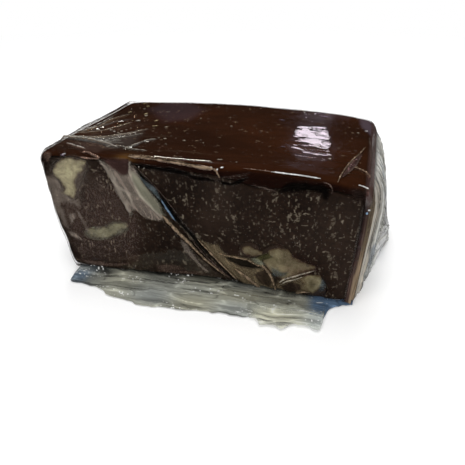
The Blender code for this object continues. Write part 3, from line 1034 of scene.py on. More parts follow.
CREASES = (
    # from the front left corner over the top
    Crease(T, ((-58.4, -20), (-53.5, -20.2), (-45.1, -22), (-38, -24.6), (-31.4, -27.4)), 0.9, 0.7, 0.32, Tint.GREY),
    Crease(T, ((-57.9, -18), (-49.7, -19.9), (-42.9, -19.8), (-36.6, -16.1), (-31.8, -11.4), (-29, -6.6)), 0.8, 0.6, 0.24, Tint.GREY),
    Crease(T, ((-56, -13), (-53, -11.2), (-50.3, -7), (-50.2, 3.3), (-46.1, 12.3)), 0.6, 0.5, 0.24, Tint.TAN),
    Crease(T, ((-52, -12), (-49.8, -8), (-48, 1), (-40.9, 6.6)), 0.55, 0.4, 0.2, Tint.GREY),
    Crease(T, ((-58, -12), (-56, -4), (-54, 6), (-52.6, 13)), 0.6, 0.45, 0.35, Tint.GREY),
    Crease(T, ((-29, -29), (-26, -22.6), (-24.4, -19), (-21, -16)), 0.5, 0.4, 0.2, Tint.GREY),
    Crease(T, ((-52.8, -25.6), (-49.7, -27.1), (-45.4, -29.5), (-41, -31.2)), 0.6, 0.4, 0.3, Tint.PINK),
    Crease(T, ((-30, -16), (-22, -13), (-12, -12)), 0.4, 0.12, 0.08, Tint.TAN),
    Crease(T, ((-20, -27), (-8, -25.4), (6, -26)), 0.35, 0.10, 0.08, Tint.TAN),
    Crease(T, ((55, 9.6), (55.8, 3), (56.3, -8), (56.2, -20.8)), 0.5, 0.3, 0.22, Tint.CREAM),
    # small ones on the front
    Crease(F, ((-23.5, 46.2), (-24.1, 42.9), (-23.7, 39.8), (-21.6, 34.4), (-17.9, 30.3), (-14.2, 27)), 0.45, 0.6, 0.40, Tint.CREAM, False, 0.6),
    Crease(F, ((-31.8, 43.4), (-30, 38.6), (-28.4, 36.9), (-26.1, 35.3), (-25.3, 32.1), (-24.4, 29.6)), 0.6, 0.5, 0.5, Tint.CREAM),
    Crease(F, ((-24.6, 27.6), (-25.2, 23.6), (-27.6, 20.2)), 0.6, 0.3, 0.35, Tint.ROSE),
    Crease(F, ((-53.1, 3.4), (-45.3, 3), (-38.4, 2.8), (-29.6, 4.4)), 0.7, 0.2, 0.6, Tint.ROSE),
    Crease(F, ((-19.9, 3.1), (-13.5, 2.3), (-8.6, 2.9), (-0.6, 2.9)), 0.7, 0.2, 0.5, Tint.ROSE),
    Crease(F, ((-53.4, 11), (-50, 8.6), (-45.4, 6.6)), 0.5, 0.2, 0.25, Tint.MAUVE),
    # The long fold's dark middle, painted shade.
    Crease(F, ((-6.4, 20), (-2.4, 13.6), (3, 7.4), (8, 3)), 1.1, -0.2, 0.9, Tint.BLACK),
    Crease(F, ((6.4, 43.9), (9.5, 44.1), (12.3, 44.7), (16, 45.9), (18.3, 46.7)), 0.3, 0.05, 0.30, Tint.ROSE),
    Crease(F, ((19.3, 42.9), (22.7, 42), (27, 41.2)), 0.35, 0.1, 0.5, Tint.MAUVE),
)
FOLDS = (
    # The long fold's slate facet is a painted dark reflection and its glint a painted highlight; its dark rims are
    # painted shade.
    Fold("long_facet", F, ((-20.4, 41.8), (-18.4, 39.4), (-16, 37.2), (-13.2, 32.8)), (0.3, 2.6, 0.5), 0.5, 0.93, Tint.SLATE, Tint.SOOT),
    Fold("long_glint", F, ((-13.5, 34), (-11.9, 30.8), (-10.3, 28.1), (-9, 25.8)), (0.4, 0.4, 0.15), 0.9, 0.97, Tint.STEEL, Tint.BLUE),
    Fold("long_ridge", F, ((-14, 27.6), (-9.3, 21.8), (-5.2, 17.4), (0.1, 11.3), (4.5, 7.5), (9.4, 3.6)), (1.7, 1.1, 0.5), 0.7, 0.93, Tint.TAN, Tint.KHAKI),
    Fold("long_seam", F, ((-4, 19), (0.8, 12.6), (5.4, 8), (10.5, 3.2)), (0.2, 0.4, 0.3), 0.6, 0.85, Tint.ROSE, Tint.SOOT),
    Fold("long_right", F, ((-1.4, 19), (2.6, 14.4), (6.6, 9.8), (13, 3)), (0.3, 0.7, 0.6), 0.5, 0.85, Tint.TAN, Tint.KHAKI),
    Fold("long_line", F, ((-23, 46.8), (-19.8, 43.4), (-16, 39.4), (-12, 34.4), (-9.2, 30)), (0.3, 0.35, 0.2), 0.4, 0.6, Tint.ROSE, Tint.SOOT),
    Fold("khaki_low", F, ((12.4, 7.9), (16.3, 5.4), (20.2, 2.4), (22.8, 0.9)), (0.6, 1.6, 0.7), 0.5, 0.86, Tint.TAN, Tint.KHAKI),
    Fold("edge", F, ((-24.4, 48.9), (-15.6, 49), (-8.6, 48.4), (-1, 47.5), (6.8, 46.8)), (1.6, 1.8, 1.5), 0.35, 0.90, Tint.TAN, Tint.ROSE),
    # A dark slit of painted shade inside the edge's fold.
    Fold("edge_slit", F, ((-19, 49.1), (-12, 48.8), (-4.6, 48.2), (0, 47.9), (3.8, 47.4)), (0.2, 0.35, 0.25), 0.7, 0.92, Tint.SOOT, Tint.ROSE),
    Fold("edge_strand", F, ((-25, 49.4), (-17, 49.7), (-9, 49.2), (-2, 48.2)), (0.2, 0.35, 0.2), 0.6, 0.5, Tint.TAN, Tint.ROSE),
    Fold("edge_tail", F, ((6.2, 47), (7.4, 46), (8.4, 44.2)), (0.8, 0.5, 0.2), 0.5, 0.85, Tint.TAN, Tint.PINK),
    Fold("edge_left", F, ((-42, 48.4), (-39.8, 48.9), (-37.3, 47.9), (-34.5, 47.1)), (0.7, 1.0, 0.6), 0.4, 0.72, Tint.PINK, Tint.ROSE),
    Fold("edge_left_low", F, ((-42.2, 46.7), (-38.2, 46.5), (-34.8, 46.8)), (0.5, 0.7, 0.4), 0.4, 0.72, Tint.PINK, Tint.ROSE),
    Fold("edge_glint_left", F, ((15.7, 48.5), (20.3, 48.4), (25.4, 48.2)), (0.15, 0.25, 0.35), 0.35, 0.80, Tint.PINK, Tint.ROSE),
    Fold("edge_glint", F, ((25, 48.2), (27.4, 48.1), (31.2, 48), (34.6, 47.9), (40.9, 47.4)), (0.35, 0.55, 0.4), 0.35, 0.97, Tint.WHITE, Tint.WHITE),
    Fold("edge_glint_right", F, ((52.4, 46.6), (54, 46.2), (55.8, 45.5)), (0.25, 0.5, 0.3), 0.35, 0.97, Tint.WHITE, Tint.PALE),
    Fold("dent", F, ((42, 46), (43.6, 45.4), (44.7, 44.2), (44.9, 42.4)), (0.3, 0.5, 0.3), 0.3, 0.55, Tint.MAUVE, Tint.ROSE),
    Fold("white_crease", F, ((29.2, 4.9), (31.5, 7.2), (33.3, 8.3), (35.1, 9.3), (37.5, 10.8), (41.7, 13.1)), (0.7, 0.8, 0.3), 0.5, 0.88, Tint.CREAM, Tint.TAN),
    Fold("white_crease_low", F, ((30, 4.2), (32, 6.2), (34.6, 7.6), (37.8, 9.6)), (0.4, 0.6, 0.2), 0.5, 0.9, Tint.CREAM, Tint.KHAKI),
    Fold("arch", F, ((22.7, 11.8), (25.2, 9), (26.2, 7.3), (27.3, 4.6), (28.5, 0.9)), (0.8, 0.9, 0.7), 0.6, 0.88, Tint.TAN, Tint.KHAKI),
    Fold("lip", F, ((6, 14), (9, 13.5), (13.5, 13.2), (17.3, 12.8), (20.4, 11.4), (22.9, 11)), (0.4, 0.7, 0.7), 0.4, 0.8, Tint.TAN, Tint.KHAKI),
    Fold("base", F, ((28.6, 1.4), (31.9, 1.0), (34.7, 1.3), (39.2, 3.3), (41.3, 3.4)), (0.4, 0.9, 0.5), 0.4, 0.8, Tint.TAN, Tint.KHAKI),
    Fold("corner", T, ((46.2, -33.6), (47.8, -24), (49.6, -16.4), (52, -9), (53.6, -2)), (0.4, 0.6, 0.25), 0.5, 0.85, Tint.TAN, Tint.ROSE),
    Fold("corner_rear", T, ((47.2, -31), (49.2, -23.6), (51, -16), (52.8, -8.6)), (0.5, 2.2, 0.4), 0.35, 0.88, Tint.DUSK, Tint.MAUVE),
    Fold("corner_branch", T, ((50.6, -21.4), (53.4, -22.8), (56, -25.2)), (0.3, 0.35, 0.25), 0.4, 0.75, Tint.TAN, Tint.PINK),
    Fold("spoke", T, ((-59.2, -22), (-57.6, -19.6), (-53.5, -19.9), (-45.1, -21.9), (-38, -24.4), (-31.4, -27)), (1.2, 0.8, 0.25), 0.5, 0.55, Tint.PALE, Tint.TAN),
    Fold("spoke_rear", T, ((-57.2, -18.6), (-49.7, -19.8), (-42.9, -19.6), (-36.6, -16), (-31.8, -11.4), (-29, -6.6)), (0.7, 0.6, 0.25), 0.4, 0.45, Tint.CREAM, Tint.TAN),
    Fold("spoke_far", T, ((-54.4, -13), (-52.4, -10), (-50.3, -6), (-50, 3.3), (-46.1, 12.3)), (0.5, 0.45, 0.25), 0.35, 0.5, Tint.CREAM, Tint.TAN),
    Fold("spoke_near", T, ((-52.8, -25.6), (-49.7, -27.1), (-45.4, -29.5), (-41.6, -31)), (0.3, 0.45, 0.4), 0.35, 0.75, Tint.PALE, Tint.PINK),
    Fold("spoke_beads", T, ((-28.6, -28), (-26, -22.6), (-24.4, -19.1), (-21.1, -16.1)), (0.3, 0.4, 0.2), 0.3, 0.6, Tint.CREAM, Tint.GREY),
    Fold("fan_1", T, ((-55, -19.2), (-46, -20.8), (-39, -21.4), (-33.6, -20)), (0.4, 0.35, 0.2), 0.3, 0.45, Tint.PALE, Tint.GREY),
    Fold("fan_2", T, ((-54, -20), (-46, -21.6), (-38.6, -22.8), (-31, -22.4)), (0.4, 0.3, 0.2), 0.3, 0.42, Tint.CREAM, Tint.GREY),
    Fold("fan_3", T, ((-44, -20.4), (-37, -18.6), (-31.6, -15), (-28.6, -11.6)), (0.3, 0.35, 0.2), 0.3, 0.42, Tint.CREAM, Tint.GREY),
    Fold("fan_4", T, ((-36, -27), (-30.6, -25.6), (-26.6, -27.2), (-20, -27.6)), (0.3, 0.35, 0.2), 0.3, 0.5, Tint.CREAM, Tint.GREY),
    Fold("fan_5", T, ((-55, -14), (-48.4, -11.4), (-43, -6), (-39.4, 1)), (0.3, 0.35, 0.2), 0.3, 0.42, Tint.CREAM, Tint.TAN),
    Fold("fan_6", T, ((-56.6, -15), (-53.6, -9), (-52.4, -2), (-52, 8)), (0.4, 0.4, 0.2), 0.3, 0.55, Tint.PALE, Tint.GREY),
    Fold("left_lip", T, ((-59.6, -30), (-60, -24), (-60, -14), (-59.6, -6)), (0.5, 0.8, 0.4), 0.3, 0.6, Tint.PALE, Tint.GREY),
)
GLINTS = (  # (side, x, second, length, width, angle, colour)
    (T, -46.7, 28.8, 2.2, 0.4, 1.0, Tint.STRAW), (T, -45.4, 31.5, 2.0, 0.4, 0.9, Tint.STRAW),
    (T, -43.3, 24.6, 1.4, 0.5, 0.5, Tint.STRAW), (T, -38.8, 12.8, 2.2, 0.5, 1.1, Tint.STRAW),
    (T, -37.6, 10.4, 1.6, 0.4, 0.6, Tint.CREAM), (T, -38, 3.4, 1.9, 0.6, 0.4, Tint.PALE),
    (T, -30, 3.9, 2.0, 0.35, 0.9, Tint.STRAW), (T, -27.8, -2.5, 2.2, 0.35, 0.4, Tint.STRAW),
    (T, -47.6, 15.4, 2.4, 0.3, 1.2, Tint.STRAW), (T, -52.6, -2.3, 1.4, 0.6, 1.2, Tint.STEEL),
    (T, -43.4, -9.2, 1.2, 0.4, 0.2, Tint.PALE), (T, -41.2, -10.9, 0.8, 0.4, 0.9, Tint.PALE),
    (T, -39, -11.9, 0.9, 0.4, -0.4, Tint.CREAM), (T, -38.4, -10.2, 1.0, 0.35, 0.8, Tint.CREAM),
    (T, -37.3, -8.6, 0.8, 0.4, 0.3, Tint.CREAM), (T, -43.2, -2.7, 1.8, 0.3, 0.7, Tint.STRAW),
    (T, -41.4, -1.3, 1.6, 0.3, 0.5, Tint.STRAW), (T, -32.7, -26, 1.2, 0.5, -0.2, Tint.WHITE),
    (T, -26, -22.6, 0.9, 0.5, 0.7, Tint.WHITE), (T, -24.5, -19.3, 0.9, 0.5, 0.5, Tint.WHITE),
    (T, -45.6, -29.3, 1.8, 0.5, -0.5, Tint.WHITE), (T, -48.6, -27.6, 1.0, 0.35, -0.5, Tint.PALE),
    (T, 7.3, -29.6, 1.8, 0.4, 0.3, Tint.CREAM), (T, -8.2, -30.4, 1.4, 0.3, 0.1, Tint.TAN),
    (T, 36.1, -19.8, 1.6, 0.4, 0.2, Tint.PINK), (T, 42.3, -18, 1.0, 0.4, 0.2, Tint.PALE),
    (T, 32, -14.4, 1.6, 0.5, 0.3, Tint.LILAC), (T, 25.5, -13.4, 1.6, 0.5, 0.2, Tint.LILAC),
    (T, 36, -13.6, 1.4, 0.5, 0.0, Tint.LILAC), (T, 25.9, 30.4, 2.6, 0.35, 0.0, Tint.STRAW),
    (T, 27.4, 27.4, 1.0, 0.5, 1.2, Tint.PALE), (T, 28, 24.8, 1.2, 0.4, 0.1, Tint.LILAC),
    (T, 20.2, 14.4, 2.2, 0.7, -0.2, Tint.LILAC), (T, 53.6, 16.5, 1.4, 0.5, 0.6, Tint.WHITE),
    (F, 12.6, 1.5, 4.0, 0.5, -0.15, Tint.WHITE), (F, -12.7, 32.2, 2.4, 0.35, -1.1, Tint.WHITE),
    (F, 8.9, 47.9, 1.3, 0.6, 0.4, Tint.WHITE), (F, 7.4, 46.8, 0.9, 0.45, 1.0, Tint.WHITE),
    (F, 5.4, 47.5, 0.9, 0.4, -0.6, Tint.PALE), (F, -49, 47, 2.4, 0.9, 0.3, Tint.LILAC),
    (F, -48.6, 47.2, 1.4, 0.5, 0.3, Tint.WHITE), (F, 56.8, 38.2, 0.8, 0.6, 0.2, Tint.WHITE),
    (F, 56.3, 37.0, 0.9, 0.6, 1.3, Tint.STEEL), (F, -20.4, 45.2, 0.6, 0.3, 0.5, Tint.PALE),
    (F, -18.6, 44.8, 0.5, 0.3, 0.9, Tint.PALE), (F, -42.6, 19.6, 1.2, 0.4, 0.2, Tint.MILK),
)  # fmt: skip
END_BANDS = (  # colours across the right end's front edge, light and dark bands that are painted light and shade on its pleats: (distance, colour)
    (-1.9, Tint.SOOT), (-1.2, Tint.DUSK), (-0.8, Tint.ROSE), (-0.4, Tint.DUSK), (0.1, Tint.TAN), (1.2, Tint.KHAKI),
    (1.7, Tint.TAN), (3.2, Tint.KHAKI),
    (3.7, Tint.SOOT), (4.0, Tint.CREAM), (5.6, Tint.PALE), (6.4, Tint.CREAM), (6.8, Tint.SLATE), (7.3, Tint.PALE),
    (9.2, Tint.CREAM), (9.8, Tint.SLATE), (10.3, Tint.GREY), (12.0, Tint.PALE), (15.0, Tint.GREY),
)  # fmt: skip
WRAP_RIGHT = (
    (0.0, 1.5, -33.8, 34.2, 44.2, 3.6), (0.10, 2.2, -33.0, 33.6, 42.8, 5.4), (0.22, 3.9, -28.0, 32.0, 40.6, 6.6),
    (0.36, 5.8, -21.0, 30.0, 36.6, 6.6), (0.52, 8.0, -12.0, 27.5, 29.4, 5.4), (0.68, 10.0, -3.5, 26.0, 20.0, 4.0),
    (0.82, 12.0, 3.5, 26.0, 10.0, 2.4), (0.92, 14.0, 9.0, 27.0, 3.8, 1.2), (1.0, 15.4, 14.0, 26.8, 1.2, 0.4),
)  # fmt: skip
WRAP_LEFT = (
    (0.0, 0.3, -33.9, 33.8, 47.0, 3.6), (0.15, 1.0, -33.2, 33.4, 46.4, 4.0), (0.35, 1.8, -31.4, 32.2, 44.6, 5.0),
    (0.6, 2.4, -28.0, 30.0, 41.0, 5.0), (1.0, 2.7, -20.0, 24.0, 34.0, 4.0),
)  # fmt: skip


def unrolled(points: np.ndarray) -> np.ndarray:
    """(x, distance over the front upper edge: negative down the front) of places in mm."""
    x, y, z = points[..., 0], points[..., 1], points[..., 2]
    top = Block.top(x) - Block.front_drop
    front = Block.front - Block.overhang + Block.foot(x, z)
    return np.stack([x, np.minimum(z - top, 0) + np.maximum(y - front, 0)], -1)


def laid_out(side: Side, points: tuple[Point, ...]) -> np.ndarray:
    """A table's points as (x, distance over the front upper edge)."""
    table = np.array(points, float)
    if side is Side.FRONT:
        second = table[:, 1] - Block.top(table[:, 0]) + Block.front_drop
    else:
        second = table[:, 1] - Block.front + Block.overhang
    return np.stack([table[:, 0], second], -1)


def around(values: np.ndarray) -> np.ndarray:
    """The mean of each value's four neighbours on a grid that closes on itself one way."""
    ring = np.concatenate([values[:, -2:-1], values, values[:, 1:2]], 1)
    tall = np.concatenate([ring[:1], ring, ring[-1:]], 0)
    return (tall[:-2, 1:-1] + tall[2:, 1:-1] + tall[1:-1, :-2] + tall[1:-1, 2:]) / 4


def cover(haze: np.ndarray, tint: np.ndarray, share: np.ndarray, colour: Tint) -> None:
    """Lay one haze over what is there.

    Args:
        haze: How milky the film is, changed in place.
        tint: Its colour, changed in place.
        share: How milky the new haze is.
        colour: The new haze's colour.
    """
    total = share + haze * (1 - share)
    weight = (share / np.maximum(total, 1e-6))[..., None]
    tint += (np.array(colour.value) - tint) * weight
    haze[...] = total


@dataclass
class FilmSkin:
    """The film round the block, as one closed skin from end to end.

    It is a grid laid round the block, one way round and the other along it. It is pulled onto the
    chocolate, bridges its hollows as film under tension does, and then takes its creases.
    """

    stations: int = 270
    right_rings: int = 70
    left_rings: int = 20
    counts: tuple[int, int, int, int] = (98, 106, 18, 14)  # up the front, over, down the rear, under
    arcs: tuple[int, int, int, int] = (3, 12, 10, 3)
    left_half: float = 53.2
    shoulder: float = 3.0
    off: float = 0.22
    reach: float = 7.0
    finish: FilmFinish = field(default_factory=FilmFinish)
    grid: np.ndarray | None = None
    normal: np.ndarray | None = None

    def _sections(self) -> np.ndarray:
        """(x, front y at foot, front y, rear y, low z, high z at the front, at the rear, radius)."""
        half = Block.half + Block.overhang + 0.7
        out = 0.7
        front = Block.front - Block.overhang - out
        rows = []
        for v in np.linspace(-self.left_half, half, self.stations):
            bend = np.clip((v - half + self.shoulder) / self.shoulder, 0, 0.97)
            high = Block.top(v) + out - self.shoulder * (1 - math.sqrt(1 - bend**2))
            foot = front + float(Block.foot(v, 0.0))
            rows.append((v, foot, front, Block.rear + Block.overhang + out, 0.06, high - Block.front_drop, high, 3.9))

        def cap(table: tuple[Point, ...], rings: int, side: int) -> list[tuple[float, ...]]:
            """Sections of one gathered end."""
            made = []
            for ring in range(1, rings + 1):
                beyond, low, high, tall, soft = (
                    float(along(tuple((row[0], row[i]) for row in table), ring / rings)) for i in range(1, 6)
                )
                start = Block.half if side > 0 else self.left_half
                made.append((side * (start + beyond), low, low, high, 0.06, tall, tall, soft))
            return made

        left = cap(WRAP_LEFT, self.left_rings, -1)[::-1]
        return np.array(left + rows + cap(WRAP_RIGHT, self.right_rings, 1))

    def _base(self) -> np.ndarray:
        """The grid of places before the film is pulled tight: [station, way round, 3]."""
        x, foot, front, rear, low, high_front, high_rear, radius = self._sections().T
        corners = np.stack([
            np.stack([foot, low], -1), np.stack([front, high_front], -1),
            np.stack([rear, high_rear], -1), np.stack([rear, low], -1),
        ], 1)  # fmt: skip
        small = np.minimum(1.2, radius)
        radii = np.stack([small, radius, radius, small], 1)
        ways = []
        for i in range(4):
            here, before, after = corners[:, i], corners[:, i - 1], corners[:, (i + 1) % 4]
            back, on = before - here, after - here
            back = back / np.linalg.norm(back, axis=1, keepdims=True) * radii[:, i, None]
            on = on / np.linalg.norm(on, axis=1, keepdims=True)
            for step in range(self.arcs[i] + 1):
                angle = step / self.arcs[i] * math.pi / 2
                ways.append(here + back * (1 - math.sin(angle)) + on * radii[:, i, None] * (1 - math.cos(angle)))
            arrive = after - on * radii[:, (i + 1) % 4, None]
            leave = here + on * radii[:, i, None]
            for step in range(1, self.counts[i]):
                ways.append(leave + (arrive - leave) * step / self.counts[i])
        ways.append(ways[0])
        section = np.stack(ways, 1)
        places = np.concatenate([np.broadcast_to(x[:, None, None], (*section.shape[:2], 1)), section], -1)
        return Block.leaned(Block.bulged(places))

    @staticmethod
    def _outward(grid: np.ndarray) -> np.ndarray:
        """Outward direction at each place of the grid."""
        along_x = np.gradient(grid, axis=0)
        ring = np.concatenate([grid[:, -2:-1], grid, grid[:, 1:2]], 1)
        normal = np.cross(along_x, (ring[:, 2:] - ring[:, :-2]) / 2)
        return normal / np.maximum(np.linalg.norm(normal, axis=-1, keepdims=True), 1e-9)

    def _pulled(self, grid: np.ndarray, normal: np.ndarray, chocolate: list[bpy.types.Object]) -> np.ndarray:
        """How far the film moves out of its base to lie on the chocolate."""
        corners, faces = [], []
        for piece in chocolate:
            base = len(corners)
            corners += [v.co.copy() for v in piece.data.vertices]
            faces += [[base + i for i in f.vertices] for f in piece.data.polygons]
        tree = BVHTree.FromPolygons(corners, faces)
        depth = np.full(grid.shape[:2], -1.0)
        start = (grid + normal * 3) * MM
        for i in range(grid.shape[0]):
            if i >= self.left_rings + self.stations:
                depth[i] = 0
                continue
            for j in range(grid.shape[1]):
                hit = tree.ray_cast(Vector(start[i, j]), Vector(-normal[i, j]), (self.reach + 3) * MM)
                if hit[3] is not None:
                    depth[i, j] = 3 - hit[3] / MM + self.off
        return depth

    def _stretched(self, depth: np.ndarray, rounds: int) -> np.ndarray:
        """Film over hollows: nowhere below depth, and otherwise as flat as it can be."""
        film = depth.copy()
        for _ in range(rounds):
            film = np.maximum(depth, around(film))
        return film

    def build(self, chocolate: list[bpy.types.Object]) -> bpy.types.Object:
        """Model and dress it.

        Args:
            chocolate: The pieces it is pulled onto.

        Returns:
            The skin.
        """
        grid = self._base()
        normal = self._outward(grid)
        depth = self._stretched(self._pulled(grid, normal, chocolate), 60)
        depth = (depth + around(depth)) / 2
        facing = np.maximum(-normal[..., 1], normal[..., 2])
        shown = ramp(facing, 0.3, 0.6) * (grid[..., 1] < 33)
        on_top = ramp(normal[..., 2], 0.6, 0.9)
        on_front = ramp(-normal[..., 1], 0.5, 0.9)
        lift = np.zeros_like(depth)
        haze = np.full(depth.shape, 0.003)
        tint = np.broadcast_to(np.array(Tint.CLEAR.value), (*depth.shape, 3)).copy()
        places = unrolled(grid)
        wander = np.stack([noise(grid, 4.0, 11), noise(grid, 4.0, 12)], -1) * 0.45
        wander += np.stack([noise(grid, 1.3, 13), noise(grid, 1.3, 14)], -1) * 0.30
        for patch in PATCHES:
            within = inside(places + wander * patch.loose, laid_out(patch.side, patch.outline))
            share = ramp(within, -patch.edge, patch.edge) * shown
            lift += share * patch.lift
            cover(haze, tint, share * patch.haze, patch.tint)
        for crease in CREASES:
            away, at = to_line(places + wander * crease.loose, laid_out(crease.side, crease.line))
            thin = np.sin(np.pi * np.clip(at, 0.04, 0.96)) ** 0.6 if crease.fade else 1.0
            share = np.clip(1 - away / (crease.width * 1.5 * (0.35 + 0.65 * thin)), 0, 1) ** 1.4 * thin * shown
            lift += share * crease.lift
            cover(haze, tint, np.clip(share * 1.5, 0, 1) * crease.haze, crease.tint)
        across = 0.87 * grid[..., 0] + 0.5 * grid[..., 2]
        down = 0.87 * grid[..., 2] - 0.5 * grid[..., 0]
        strand = creased(np.stack([across, down, 0 * down], -1), (1.6, 9.0, 1.0), 23, 2)
        tint *= 1 + (0.9 * strand[..., None] ** 1.5 - 0.3) * (on_front * ramp(haze, 0.1, 0.4))[..., None]
        lift += 0.05 * creased(grid, (9.0, 3.0, 3.0), 21) ** 4 * on_top
        corner = np.hypot(grid[..., 0] + 60, grid[..., 1] + 20)
        near_corner = ramp(corner, 46, 10) * on_top
        angle = np.arctan2(grid[..., 1] + 20, grid[..., 0] + 60)
        fan = creased(np.stack([angle * 26, corner / 14, angle * 0], -1), 1.0, 31) ** 2
        lift += 0.34 * fan * near_corner
        haze += 0.14 * fan * near_corner
        lift += 0.06 * creased(grid, (3.0, 3.0, 5.0), 41) ** 2 * on_front
        lift += 0.5 * creased(grid, (9.0, 9.0, 16.0), 51) ** 2 * ramp(normal[..., 1], 0.5, 0.9)
        crinkle = 0.13 * on_top + 0.8 * near_corner + 0.15 * on_front + 0.8 * ramp(facing, 0.7, 0.3)
        crinkle += np.clip(haze * 0.7, 0, 0.5) * ramp(tint.max(-1), 0.02, 0.12)
        lift -= 1.6 * ramp(-normal[..., 0], 0.15, 0.6) * ramp(grid[..., 2], 34, 24)
        # Painted shadow along the foot of the front, where the film meets the floor.
        foot = ramp(grid[..., 2], 2.6, 0.9) * on_front
        cover(haze, tint, foot * 0.9, Tint.SOOT)
        for side in (1, -1):
            self._gather(side, grid, lift, haze, tint)
        points = grid + normal * (depth + lift)[..., None]
        points[..., 2] = np.maximum(points[..., 2], 0.05)
        self.grid, self.normal = points, normal
        piece = laid("film_skin", points * MM, np.clip(haze, 0, 1), tint, crinkle)
        self._close(piece)
        return done(piece, Slot.FILM, self.finish.material(), "film_wrap")

    def _gather(self, side: int, grid: np.ndarray, lift: np.ndarray, haze: np.ndarray, tint: np.ndarray) -> None:
        """Pleats of one end.

        Args:
            side: 1 for the right end, -1 for the left one.
            grid: The base places.
            lift: How far the film stands out, changed in place.
            haze: How milky it is, changed in place.
            tint: What colour, changed in place.
        """
        rings = self.right_rings if side > 0 else self.left_rings
        first = self.left_rings + (self.stations - 1 if side > 0 else 0)
        t = np.clip((np.arange(grid.shape[0])[:, None] - first) * side / rings, 0, 1) * np.ones(grid.shape[1])
        x, y, z = grid[..., 0], grid[..., 1], grid[..., 2]
        meander = noise(grid, 14.0, 66)
        fan = np.arctan2(z - 1, 24 - y) * 24 + 0.8 * meander
        slant = np.stack([fan, np.hypot(z - 1, 24 - y) / 14, 0 * fan], -1)
        fuller = Block.fuller(y, z)
        hung = x - fuller - 54.3 + 0.6 * (y + 34) + 0.03 * (24 - z)
        upright = np.stack([hung + 1.2 * noise(grid, (60.0, 60.0, 12.0), 67), z / 60, 0 * z], -1)
        fore = ramp(y, -6, -20)
        pleat = creased(slant, (1.5, 3.0, 1.0), 61 + side, 2) * (1 - fore) + creased(upright, (2.4, 1.0, 1.0), 63, 2) * fore
        fine = creased(slant, (0.55, 2.2, 1.0), 71 + side, 2) * (1 - fore) + creased(upright, (1.0, 0.6, 1.0), 73, 2) * fore
        if side < 0:
            on = ramp(t, 0.0, 0.3)
            lift += on * (0.2 * pleat**1.5 + 0.1 * fine)
            cover(haze, tint, on * (0.10 + 0.25 * pleat), Tint.ROSE)
            cover(haze, tint, on * (0.04 + 0.4 * pleat**1.5) * ramp(y, -2, 10) * ramp(z, 20, 34), Tint.PEARL)
            return
        on = ramp(t, 0.0, 0.04) * (1 - 0.4 * ramp(t, 0.88, 1.0))
        lift += ramp(t, 0.08, 0.3) * (1.1 * pleat**1.3 + 0.25 * fine - 0.5) * (1 - 0.5 * ramp(z, 14, 26))
        # Painted light and shade on the pleats: lighter on their crests and further round the end, with painted shade
        # in the gaps between them.
        shade = np.clip(pleat**1.3 * 0.8 + fine**1.5 * 0.5, 0, 1.2)
        light = np.array((0.60, 0.59, 0.54)) * (0.9 + 1.7 * shade[..., None]) * (1 + 0.6 * ramp(t, 0.4, 0.8))[..., None]
        blue = (ramp(noise(grid, (30.0, 7.0, 12.0), 82), 0.15, 0.6) * 0.6 + ramp(z, 10, 4) * 0.35)[..., None].clip(0, 0.9)
        light = light * (1 - blue) + np.array(Tint.BLUE.value) * blue * (0.8 + 1.6 * shade[..., None])
        gap = ramp(creased(slant, (2.4, 1.6, 1.0), 92, 1), 0.88, 0.97) * (1 - fore)
        gap = (gap + ramp(creased(upright, (3.4, 0.5, 1.0), 93, 1), 0.86, 0.97) * fore)[..., None] * 0.5
        light = light * (1 - gap) + np.array(Tint.SOOT.value) * gap
        rim = (ramp(z, 38.5, 42.0) * ramp(t, 0.20, 0.04))[..., None]
        light = light * (1 - rim) + np.array(Tint.PEARL.value) * (0.3 + 1.1 * fine[..., None]) * rim
        across = hung + 1.0 * noise(grid, (60.0, 60.0, 9.0), 95) - 0.03 * np.maximum(z - 12, 0)
        bands = np.stack([along(tuple((q, c.value[k]) for q, c in END_BANDS), across) for k in range(3)], -1)
        # The bands are lighter on the fine pleats' crests: painted light.
        bands = bands * (0.7 + 0.85 * fine[..., None] + 0.3 * noise(upright, (0.7, 0.15, 1.0), 97)[..., None])
        bands = bands * (1 - 0.4 * ramp(z, 12, 34) * ramp(across, 4.0, 2.6))[..., None]
        edge = (ramp(across, 15.0, 12.0) * ramp(z, 46.0, 43.0) * (y < -8))[..., None]
        light = light * (1 - edge) + bands * edge
        edge = edge * np.maximum(ramp(across, -1.9, -1.2), ramp(x - fuller, 53.3, 54.0))[..., None]
        near = np.maximum(on, edge[..., 0] * (x - fuller > 52.6))
        tint += (light - tint) * np.clip(near * 1.5, 0, 1)[..., None]
        milk = np.clip(0.74 + 0.2 * shade + gap[..., 0] * 0.3 + edge[..., 0] * 0.2, 0, 0.97) * (1 - 0.6 * rim[..., 0])
        haze[...] = haze * (1 - near) + near * milk
        cover(haze, tint, 0.85 * ramp(x - fuller, 53.6, 54.6) * ramp(z, 39, 42) * ramp(t, 0.12, 0.04), Tint.DUSK)

    @staticmethod
    def _close(piece: bpy.types.Object) -> None:
        """Weld the skin's long seam and fill its two ends."""
        edit(
            piece,
            ("remove_doubles", {"threshold": 1e-6}),
            ("select_all", {"action": "DESELECT"}),
            ("select_non_manifold", {}),
            ("edge_face_add", {}),
            ("select_all", {"action": "SELECT"}),
            ("normals_make_consistent", {"inside": False}),
        )


